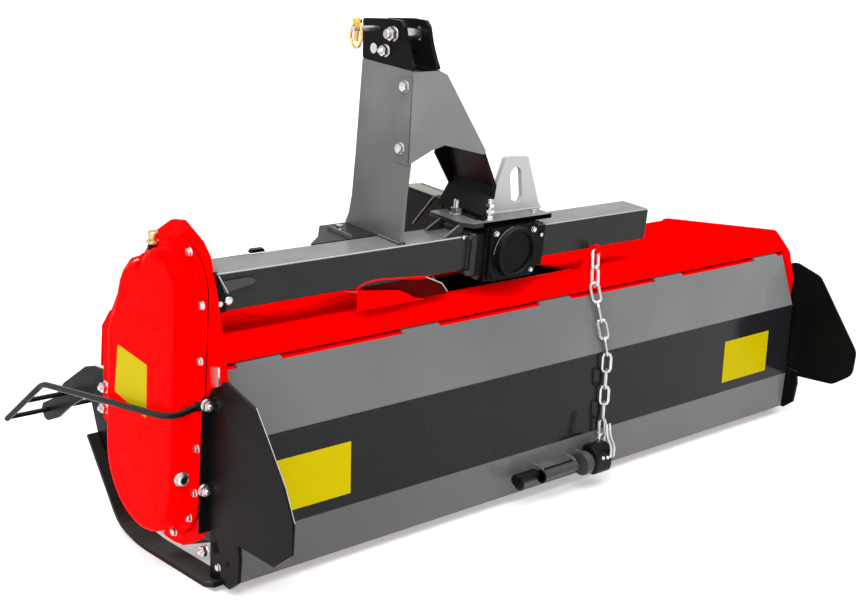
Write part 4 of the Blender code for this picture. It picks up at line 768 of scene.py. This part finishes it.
def dress_gearbox():
    """The gearbox's bolts and welds, its top plate and the lifting lug."""
    cover = -0.1403
    low, top = 0.3944, 0.4025
    bm = bmesh.new()
    for place, size in (((-0.1845, cover, 0.3775), 0.0055), ((-0.0850, cover, 0.3755), 0.0055)):
        bolt(bm, place, REAR, size, spin=place[0] * 30)
    bolt(bm, (-0.0540, -0.1322, 0.3590), REAR, 0.0045, washer=False)
    bolt(bm, (-0.0820, cover, 0.2930), REAR, 0.0045)
    piece("cover_bolts", bm, ZINC)
    # The lower cover bolt in black: painted shade.
    bolts("cover_bolt_low_shaded", [(-0.1845, cover, 0.2930)], REAR, 0.0055, BLACK)
    # Painted highlight: pale arcs where the cover's ring catches the light, top left and bottom right.
    bm = bmesh.new()
    for first, last in ((98, 178), (-72, -18)):
        turns = [math.radians(first + (last - first) * k / 14) for k in range(15)]
        ring = [(SHAFT_X + 0.0528 * math.cos(t), cover - 0.0006, 0.334 + 0.0528 * math.sin(t)) for t in turns]
        tube(bm, ring, 0.0008, 6)
    piece("cover_arc_highlight", bm, MAST_GREY_AND_HIGHLIGHT)
    bm = bmesh.new()
    for y in (BEAM_REAR - 0.005, BEAM_FRONT + 0.005):
        for z in (BEAM_BOTTOM - 0.004, BEAM_TOP - 0.002):
            bolt(bm, (-0.2385, y, z), LEFT, 0.0055, spin=y * 40)
    piece("flange_bolts", bm, IRON)
    bolts("flange_bolt_rear", [(-0.2535, BEAM_REAR, 0.3745)], REAR, 0.0045, washer=False)
    bm = bmesh.new()
    edge = [
        (-0.2624, -0.0300), (-0.2610, -0.1154), (-0.2436, -0.1400), (-0.0400, -0.1400), (-0.0400, -0.0300),
    ]
    slab(bm, rounded(edge, 0.006, 3), low, top, "z")
    for y in (-0.114, -0.060):
        rise = [
            (-0.2600, low + 0.001), (-0.2960, BEAM_TOP + 0.0003), (-0.2500, BEAM_TOP + 0.0003),
            (-0.2500, low + 0.001),
        ]
        slab(bm, rise, y - 0.003, y + 0.003, "y")
    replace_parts(piece("top_plate", bm, GRAPHITE), "gearbox_top_plate")
    # Painted shadow: a matt black strip along the top plate's rear edge.
    edge = [(-0.2200, low - 0.0005), (-0.2200, top), (-0.0395, top), (-0.0395, low - 0.0005)]
    sheet("top_plate_edge", edge, -0.1412, -0.1400, "y", SHADOW)
    bm = bmesh.new()
    for y in (-0.1172, -0.0632):
        tube(bm, [(-0.2615, y, low + 0.0030), (-0.2968, y, BEAM_TOP + 0.0010)], 0.0010, 6)
    piece("gusset_edges", bm, MAST_GREY_AND_HIGHLIGHT)
    bm = bmesh.new()
    bolt(bm, (-0.2243, -0.0652, top), UP, 0.0125, head=False, stub=0.0150)
    bolt(bm, (-0.066, -0.118, top), UP, 0.007, spin=0.9)
    bolt(bm, (-0.066, -0.050, top), UP, 0.007, spin=0.2)
    piece("top_plate_bolts", bm, ZINC)
    bm = bmesh.new()
    lug = [
        (-0.1715, 0.4029), (-0.0245, 0.4029), (-0.0340, 0.4140), (-0.0765, 0.5100), (-0.1365, 0.5125),
        (-0.1600, 0.4420),
    ]
    turns = [math.pi * k / 10 for k in range(11)]
    slot = [(-0.1060 + 0.0150 * math.cos(t), 0.4760 + 0.0150 * math.sin(t)) for t in turns]
    slot += [(-0.0975 - 0.0150 * math.cos(t), 0.4330 - 0.0150 * math.sin(t)) for t in turns]
    pierced(bm, [rounded(lug, 0.006, 4), slot], -0.097, -0.087, "y")
    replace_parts(piece("lug_plate", bm, PALE_GREY_AND_HIGHLIGHT), "lifting_lug")
    bm = bmesh.new()
    matrix = turned(UP, Vector((-0.1945, -0.1260, top)))
    disc(bm, matrix, 0.0100, 0.0022)
    hexagon(bm, matrix, 0.0155, 0.008, 0.0022)
    hexagon(bm, matrix, 0.0155, 0.007, 0.0140, 0.5)
    hexagon(bm, matrix, 0.0155, 0.007, 0.0255, 0.2)
    thread = [(0.0052 if k % 2 else 0.0046, 0.009 + 0.0013 * k) for k in range(24)]
    revolve(bm, [(0.0048, 0.008)] + thread + [(0.0040, 0.0410)], matrix, 14)
    piece("stacked_stud", bm, ZINC)
    runs = [[(-0.160, y, top + 0.001), (-0.028, y, top + 0.001)] for y in (-0.098, -0.086)]
    welds("lug_welds", runs, PALE_GREY_AND_HIGHLIGHT, 0.0028)
    runs = [[(x, -0.118, top + 0.001), (x, -0.032, top + 0.001)] for x in (-0.2075, -0.2165)]
    welds("mast_leg_welds", runs, BLACK, 0.0030)
    bm = bmesh.new()
    for y in (-0.110, -0.030):
        bolt(bm, (-0.1985, y, 0.290), LEFT, 0.010, spin=y)
        bolt(bm, (-0.0675, y, 0.290), RIGHT, 0.010, spin=y)
    for k in range(6):
        turn = math.radians(60 * k)
        place = (SHAFT_X + 0.050 * math.cos(turn), 0.0102, 0.336 + 0.050 * math.sin(turn))
        bolt(bm, place, FRONT, 0.007, spin=k)
    piece("gearbox_bolts", bm, IRON)
    matrix = turned(UP, Vector((-0.110, -0.016, 0.3943)))
    cap = [(0.010, 0), (0.010, 0.006), (0.012, 0.008), (0.012, 0.014), (0.009, 0.017)]
    turning("gearbox_filler", cap, matrix, 20, BRASS)


def dress_pto():
    """The guard over the splined shaft, and the shaft's seal."""
    left, right, top = -0.193, -0.073, 0.4070
    bm = bmesh.new()
    outer = [
        (left, 0.306), (left, 0.402), (left + 0.005, top), (-0.139, top), (-0.082, 0.374),
        (right, 0.362), (right, 0.306),
    ]
    inner = [(x * 0.935 - 0.0086, z - 0.004 if z > 0.31 else z) for x, z in outer]
    slab(bm, outer + inner[::-1], 0.0105, 0.1382, "y")
    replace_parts(piece("pto_guard_shell", bm, RUBBER), "pto_guard")
    panel = [(left + 0.004, 0.044), (-0.152, 0.044), (-0.152, 0.1375), (left + 0.004, 0.1375)]
    sheet("guard_top", rounded(panel, 0.004), top + 0.0001, top + 0.0014, "z", OLIVE)
    route = [
        (left - 0.0030, 0.0916, 0.3391), (left - 0.0030, 0.0400, 0.4030), (left + 0.0020, 0.0360, 0.4105),
        (-0.1330, 0.0355, 0.4095), (-0.1000, 0.0355, 0.3900), (right + 0.0030, 0.0400, 0.3680),
    ]
    bar("guard_wire", smooth_route(route, 0.008), 0.0012, 8, PALE_GREY_AND_HIGHLIGHT)
    matrix = turned(FRONT, Vector((SHAFT_X, 0.0322, 0.336)))
    turning("shaft_seal", [(0.030, 0), (0.030, 0.004), (0.0185, 0.005)], matrix, 36, RUBBER)


def linchpin(bm, place, size=1.0):
    """A ring clip with its pin upright through a cross pin at this place."""
    place = Vector(place)
    turns = [2 * math.pi * i / 28 for i in range(28)]
    ring = [Vector((0.003 * math.sin(t), 0.0195 * math.sin(t), 0.0215 * math.cos(t) - 0.0120)) for t in turns]
    tube(bm, [point * size + place for point in ring], 0.0024 * size, 10, closed=True)
    tube(bm, [place + Vector((0, 0, 0.018)) * size, place - Vector((0, 0, 0.022)) * size], 0.0042 * size, 14)
    disc(bm, turned(UP, place + Vector((0, 0, 0.0100)) * size), 0.0085 * size, 0.0065 * size)


# The corners of the mast's head and of its left plate: place forwards and height
MAST_HEAD = (
    (0.0320, 0.6882), (-0.1140, 0.6882), (-0.1020, 0.7050), (-0.0880, 0.7313), (-0.0775, 0.7600),
    (-0.0670, 0.7690), (-0.0330, 0.7680), (0.0385, 0.7590),
)
MAST_SIDE_EDGE = (
    (-0.1140, 0.3753), (0.0520, 0.3753), (0.0430, 0.3943), (0.0370, 0.4303), (0.0340, 0.5173),
    (0.0320, 0.6877), (-0.1120, 0.6877), (-0.1190, 0.5350), (-0.1145, 0.4600),
)


def dress_mast():
    """The mast's left plate, its heads with their pins and bolts, and the web of its leg."""
    left, right = -0.400, -0.336
    bm = bmesh.new()
    # The left plate in the darker copy of the mast's grey: painted shade.
    slab(bm, MAST_SIDE_EDGE, left, left + 0.008, "x")
    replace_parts(piece("mast_side_plate", bm, SHADED_MAST_SIDE), "mast_plate_left")
    for name, face in (("left", left), ("right", right - 0.008)):
        bm = bmesh.new()
        pierced(bm, [rounded(MAST_HEAD, 0.006, 4), around((-0.052, 0.744), 0.0128)], face, face + 0.008)
        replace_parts(piece(f"head_plate_{name}", bm, BLACK), f"mast_head_{name}")
    bm = bmesh.new()
    bolt(bm, (left - 0.0003, -0.0345, 0.7118), LEFT, 0.0105, head=False, stub=0.006, spin=0.5)
    bolt(bm, (right + 0.0003, -0.0300, 0.7106), RIGHT, 0.0120, spin=0.5)
    for y, z in ((-0.0955, 0.6590), (-0.0965, 0.5490)):
        bolt(bm, (left - 0.0003, y, z), LEFT, 0.0100, spin=z * 20)
        bolt(bm, (left + 0.0083, y, z), RIGHT, 0.0100, head=False, stub=0.005, spin=z * 12)
    matrix = turned(LEFT, Vector((left - 0.0003, 0.0010, 0.7106)))
    disc(bm, matrix, 0.0095, 0.0012)
    piece("mast_bolts", bm, ZINC)
    bm = bmesh.new()
    y, z = -0.052, 0.744
    profile = [(0.0095, 0), (0.0095, 0.0650), (0.0125, 0.0655), (0.0125, 0.0700), (0.0110, 0.0710)]
    revolve(bm, profile, turned(RIGHT, Vector((left - 0.0010, y, z))), 28)
    matrix = turned(LEFT, Vector((left - 0.0003, y - 0.0010, z)))
    disc(bm, matrix, 0.0132, 0.0022)
    hexagon(bm, matrix, 0.0215, 0.0095, 0.0022, 0.6)
    revolve(bm, [(0.0085, 0.012), (0.0085, 0.0175), (0.0070, 0.0190)], matrix, 20)
    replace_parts(piece("top_pin", bm, ZINC), "top_link_pin")
    bm = bmesh.new()
    y, z = -0.0073, 0.7473
    tube(bm, [(left + 0.0110, y, z), (left - 0.0560, y, z)], 0.0048, 16)
    tube(bm, [(-0.391, -0.0300, 0.711), (right, -0.0300, 0.711)], 0.006, 14)
    piece("front_pin", bm, ZINC)
    bm = bmesh.new()
    linchpin(bm, (left - 0.0480, y, z))
    piece("linchpin", bm, GOLD)
    flange = [(-0.1190, 0.5220), (-0.0810, 0.5230), (-0.0640, 0.6600), (-0.0700, 0.6700), (-0.1130, 0.6780)]
    sheet("sheet_flange", flange, left - 0.0018, left - 0.0003, "x", SHADED_MAST_SIDE)
    web = [
        (-0.2370, 0.5088), (-0.2330, 0.5240), (-0.2090, 0.5330), (-0.1960, 0.5330), (-0.1780, 0.4659),
        (-0.1750, 0.4264), (-0.1790, 0.4264),
    ]
    sheet("mast_leg_web", web, -0.0045, -0.0005, "y", BLACK)


def dress_hitch():
    """Weld beads, bolts and linchpins of the two lower arms."""
    for name, centre in (("left", -0.7095), ("right", -0.0265)):
        bm = bmesh.new()
        for side, axis in ((-1, LEFT), (1, RIGHT)):
            bolt(bm, (centre + side * 0.0351, 0.120, 0.296), axis, 0.012, spin=side * 2)
            bolt(bm, (centre + side * 0.0351, 0.030, 0.325), axis, 0.010, spin=side)
        piece(f"arm_bolts_{name}", bm, ZINC)
        bm = bmesh.new()
        for side in (-1, 1):
            linchpin(bm, (centre + side * 0.0510, 0.200, 0.250), 0.9)
        piece(f"lower_linchpins_{name}", bm, GOLD)
        foot = BEAM_FRONT + 0.0120
        edges = [centre + x for x in (-0.0365, -0.0235, 0.0235, 0.0365)]
        runs = [[(x, foot, 0.312), (x, foot, 0.366)] for x in edges]
        welds(f"arm_welds_{name}", runs, BLACK, 0.0030)


# Rotor, hood and tailgate

# The rotor's half length, its flanges, and how its tines stand on them
ROTOR_HALF = 0.792 - 0.012
FLANGES = 7
TINES_PER_SIDE = 3
TINE_BLADE, TINE_END_GAP = 0.072, 0.016
TINE_ROOT, TINE_BEND = 0.0396, 0.155
TINE_SWEEP, TINE_TWIST = math.radians(22), math.radians(26)
TUBE_RADIUS = 0.0392


def dress_rotor():
    """The nuts that hold each tine on its flange, and the welds of the flanges on their tube."""
    bm = bmesh.new()
    first = -ROTOR_HALF + TINE_BLADE + TINE_END_GAP
    pitch = -2 * first / (FLANGES - 1)
    stations = [(i, side) for i in range(FLANGES) for side in (-1, 1)]
    for i, side in stations:
        place = first + pitch * i
        for k in range(TINES_PER_SIDE):
            offset = math.pi / TINES_PER_SIDE if side > 0 else 0
            angle = offset + k * 2 * math.pi / TINES_PER_SIDE + i * TINE_TWIST
            for radius in (0.052, 0.076):
                share = (radius - TINE_ROOT) / (TINE_BEND - TINE_ROOT)
                turn = angle + TINE_SWEEP * share ** 2
                spot = (place + side * 0.0118, radius * math.cos(turn), radius * math.sin(turn))
                bolt(bm, spot, RIGHT * side, 0.0105, head=False, washer=False, stub=0.003, spin=i + k)
    piece("tine_nuts", bm, ZINC, "rotor")
    turns = [2 * math.pi * j / 24 for j in range(25)]
    runs = []
    for i, side in stations:
        x = first + pitch * i + side * 0.0058
        runs.append([(x, TUBE_RADIUS * math.cos(t), TUBE_RADIUS * math.sin(t)) for t in turns])
    welds("rotor_welds", runs, FORGED, 0.0035, "rotor")


def hood_top(y):
    """The height of the hood's upper face at this place forwards of its ridge."""
    return 0.258 - (y + 0.098) * 0.173


def hood_sheet(name, corners, low, high, material):
    """A flat piece that lies along the hood's upper face, between two heights over it."""
    bm = bmesh.new()
    under = [bm.verts.new((x, y, hood_top(y) + low)) for x, y in corners]
    over = [bm.verts.new((x, y, hood_top(y) + high)) for x, y in corners]
    skin(bm, [under, over])
    return piece(name, bm, material)


def dress_hood():
    """The hinge seal, the collar and edges of the hood's opening with painted shade inside them, and the
    front's bolts.
    """
    seal = [
        (-0.108, 0.2485), (-0.1120, 0.2465), (-0.1230, 0.2080), (-0.1325, 0.1880), (-0.1290, 0.1865),
        (-0.1190, 0.2065),
    ]
    sheet("hinge_seal", seal, -0.790, 0.790, "x", RED)
    lip = [
        (-0.1120, 0.2468), (-0.0980, 0.2582), (-0.0945, 0.2578), (-0.0945, 0.2535), (-0.0975, 0.2530),
        (-0.1120, 0.2420),
    ]
    sheet("opening_lip", lip, -0.3470, 0.0880, "x", RED)
    front = [
        (-0.4985, 0.2660), (-0.4997, 0.3050), (-0.4034, 0.2919), (-0.3828, 0.2825), (-0.3660, 0.2726),
        (-0.3400, 0.2660),
    ]
    bm = bmesh.new()
    slab(bm, front, -0.1272, -0.1252, "y")
    arch = [(-0.4982, 0.3060), (-0.4858, 0.3150), (-0.4524, 0.3182), (-0.4019, 0.3142), (-0.3377, 0.3070)]
    tube(bm, smooth_route([(x, -0.1200, z) for x, z in arch], 0.010), 0.0034, 10)
    piece("hood_collar", bm, LIT_HOOD_RED)
    # Painted shade: a dark red sheet inside the collar.
    inside = [(-0.4860, 0.3120)] + arch[2:] + [(-0.2946, 0.2880), (-0.2780, 0.2660), (-0.4860, 0.2660)]
    sheet("collar_inside_shade", inside, -0.1190, -0.1170, "y", GASKET_AND_SHADE)
    # A pale line along the right end of the collar.
    worn = [(-0.3360, -0.1205, 0.3065), (-0.2946, -0.1205, 0.2885), (-0.2800, -0.1205, 0.2715)]
    bar("collar_pale_edge", worn, 0.0013, 8, PALE_GREY_AND_HIGHLIGHT)
    corner = [
        (-0.3915, 0.060), (-0.3660, 0.046), (-0.3350, 0.018), (-0.3130, -0.004), (-0.3060, -0.022),
        (-0.3120, -0.052), (-0.3380, -0.086), (-0.3380, -0.094), (-0.3530, -0.094),
    ]
    hood_sheet("opening_corner", corner, -0.0035, 0.0004, RED)
    # Painted shadow: a matt black sheet under the opening beside the gearbox, with a pale line along its
    # edge.
    well = [
        (-0.2500, -0.096), (-0.2350, -0.055), (-0.2050, -0.005), (-0.1750, 0.032), (-0.1500, 0.068),
        (0.0950, 0.068), (0.0950, -0.096),
    ]
    hood_sheet("opening_shadow_sheet", well, -0.0095, -0.0050, SHADOW)
    bar("opening_pale_edge", [(x, y, hood_top(y) - 0.0040) for x, y in well[:5]], 0.0022, 8, PALE_GREY_AND_HIGHLIGHT)
    bm = bmesh.new()
    for x in (-0.62, -0.30, 0.30, 0.62):
        bolt(bm, (x, 0.2722, 0.105), FRONT, 0.008, spin=x)
    piece("apron_bolts", bm, ZINC)


def dress_tailgate():
    """Blank signs, the handle's catch and the strap of the chain, which swing with the tailgate."""
    for name, left, right in (("left", -0.711, -0.550), ("right", 0.524, 0.690)):
        bm = bmesh.new()
        rows = [(-0.196 - 0.015 * (0.104 - z) / 0.171, z) for z in (-0.0440, 0.0540)]
        (y0, z0), (y1, z1) = rows
        a = [bm.verts.new(v) for v in ((left, y0, z0), (right, y0, z0), (right, y1, z1), (left, y1, z1))]
        b = [bm.verts.new(v.co + Vector((0, -0.0005, 0))) for v in a]
        skin(bm, [a, b])
        piece(f"tailgate_decal_{name}", bm, YELLOW, "tailgate")
    y, z = -0.2485, -0.110
    matrix = turned(RIGHT, Vector((-0.0955, y, z)))
    turning("handle_sleeve", [(0.0100, 0), (0.0100, 0.100)], matrix, 24, IRON, "tailgate")
    bm = bmesh.new()
    for x, axis in ((-0.1562, LEFT), (-0.0955, RIGHT)):
        revolve(bm, [(0.0140, 0), (0.0140, 0.002), (0.0125, 0.003)], turned(axis, Vector((x, y, z))), 24)
    piece("handle_caps", bm, RUBBER, "tailgate")
    bm = bmesh.new()
    ring = [(0.0235, 0), (0.0250, 0.002), (0.0250, 0.016), (0.0235, 0.018)]
    revolve(bm, ring, turned(RIGHT, Vector((0.0180, y, z))), 28)
    revolve(bm, [(0.0180, 0), (0.0180, 0.010)], turned(RIGHT, Vector((0.0340, y, z))), 28)
    piece("catch_collar", bm, IRON, "tailgate")
    bm = bmesh.new()
    block = [
        (-0.2700, -0.1380), (-0.2700, -0.0860), (-0.2480, -0.0760), (-0.2240, -0.0800),
        (-0.2240, -0.1380),
    ]
    slab(bm, rounded(block, 0.016, 5), 0.0440, 0.0960, "x")
    made = piece("catch_block", bm, RUBBER, "tailgate")
    round_off(made, 0.006)
    bm = bmesh.new()
    for x, height in ((0.0620, -0.0980), (0.0760, -0.1000)):
        matrix = turned(REAR, Vector((x, -0.2697, height)))
        revolve(bm, [(0.0042, 0), (0.0042, 0.002), (0.0030, 0.004)], matrix, 16)
    piece("catch_screws", bm, ZINC, "tailgate")
    bm = bmesh.new()
    for shift in (0.0, 0.0090):
        route = [
            (0.0760 + shift, -0.2560, -0.0300), (0.0760 + shift, -0.2620, -0.0560),
            (0.0800 + shift, -0.2740, -0.0760), (0.0820 + shift, -0.2730, -0.1000),
        ]
        tube(bm, smooth_route(route, 0.014), 0.0030, 10)
    piece("chain_strap", bm, ZINC, "tailgate")


def bridge_link():
    """The link that joins the two runs of chain over the hinge."""
    lip = Vector((0.104, -0.140, 0.224))
    knee = Vector((0.104, -0.196, 0.104))
    along = (knee - lip).normalized()
    out = Vector((0, -along.z, along.y)).normalized()
    if out.y > 0:
        out = -out
    middle = lip + along * 0.0087 + out * 0.0135
    side = (RIGHT * 0.70 + out * 0.71).normalized()
    points = []
    bend, straight = 0.0085, 0.0120
    for end in (1, -1):
        for k in range(9):
            turn = math.radians(-90 + 180 * k / 8)
            run = along * (straight + bend * math.cos(turn)) + side * bend * math.sin(turn)
            points.append(middle + end * run)
    bm = bmesh.new()
    tube(bm, points, 0.0035, 12, closed=True)
    piece("chain_bridge", bm, ZINC)


finish_nodes()
dress_case()
dress_plates()
dress_sides()
dress_beam()
dress_gearbox()
dress_pto()
dress_mast()
dress_hitch()
dress_rotor()
dress_hood()
dress_tailgate()
bridge_link()


# Camera, floor and light

def look(name, place, turn, lens):
    data = bpy.data.cameras.new(name)
    data.lens = lens
    data.sensor_width = 36
    data.sensor_fit = "HORIZONTAL"
    data.clip_end = 4000
    camera = put(name, data)
    camera.location = place
    camera.rotation_euler = [math.radians(a) for a in turn]
    bpy.context.scene.camera = camera


def add_floor():
    bm = bmesh.new()
    bmesh.ops.create_grid(bm, x_segments=1, y_segments=1, size=1500)
    mesh = bpy.data.meshes.new("floor")
    bm.to_mesh(mesh)
    bm.free()
    floor = put("floor", mesh)
    f = Finish("floor_paper")
    f.set(Base_Color=f.mix(f.noise(0.6, 3), (0.74, 0.74, 0.74), (0.78, 0.78, 0.78)), Roughness=0.85)
    f.set(Emission_Color=(1, 1, 1, 1), Emission_Strength=0.30)
    f.relief(f.noise(120, 2), 0.03, 0.0005)
    mesh.materials.append(f.material)
    floor.location.z = -0.0005


def area(name, place, target, size, power):
    data = bpy.data.lights.new(name, "AREA")
    data.shape = "RECTANGLE"
    data.size, data.size_y = size
    data.energy = power
    light = put(name, data)
    light.location = place
    light.rotation_euler = (Vector(target) - Vector(place)).to_track_quat("-Z", "Y").to_euler()


def add_light():
    world = bpy.data.worlds.new("studio")
    bpy.context.scene.world = world
    world.use_nodes = True
    background = world.node_tree.nodes["Background"]
    background.inputs["Color"].default_value = (1.0, 1.0, 1.0, 1)
    background.inputs["Strength"].default_value = 1.0
    bpy.context.scene.view_settings.view_transform = "Standard"
    data = bpy.data.lights.new("sky", "SUN")
    data.energy = 1.4
    data.angle = math.radians(50)
    sun = put("sky", data)
    sun.rotation_euler = Vector((0.35, 0.55, -1.6)).to_track_quat("-Z", "Y").to_euler()
    area("softbox", (-2.2, -1.6, 2.8), (0, 0, 0.3), (2.4, 1.6), 60)


look("camera", (-1.8832, -2.0658, 0.9832), (76.96, 0.0, -40.66), 54.7)
add_floor()
add_light()
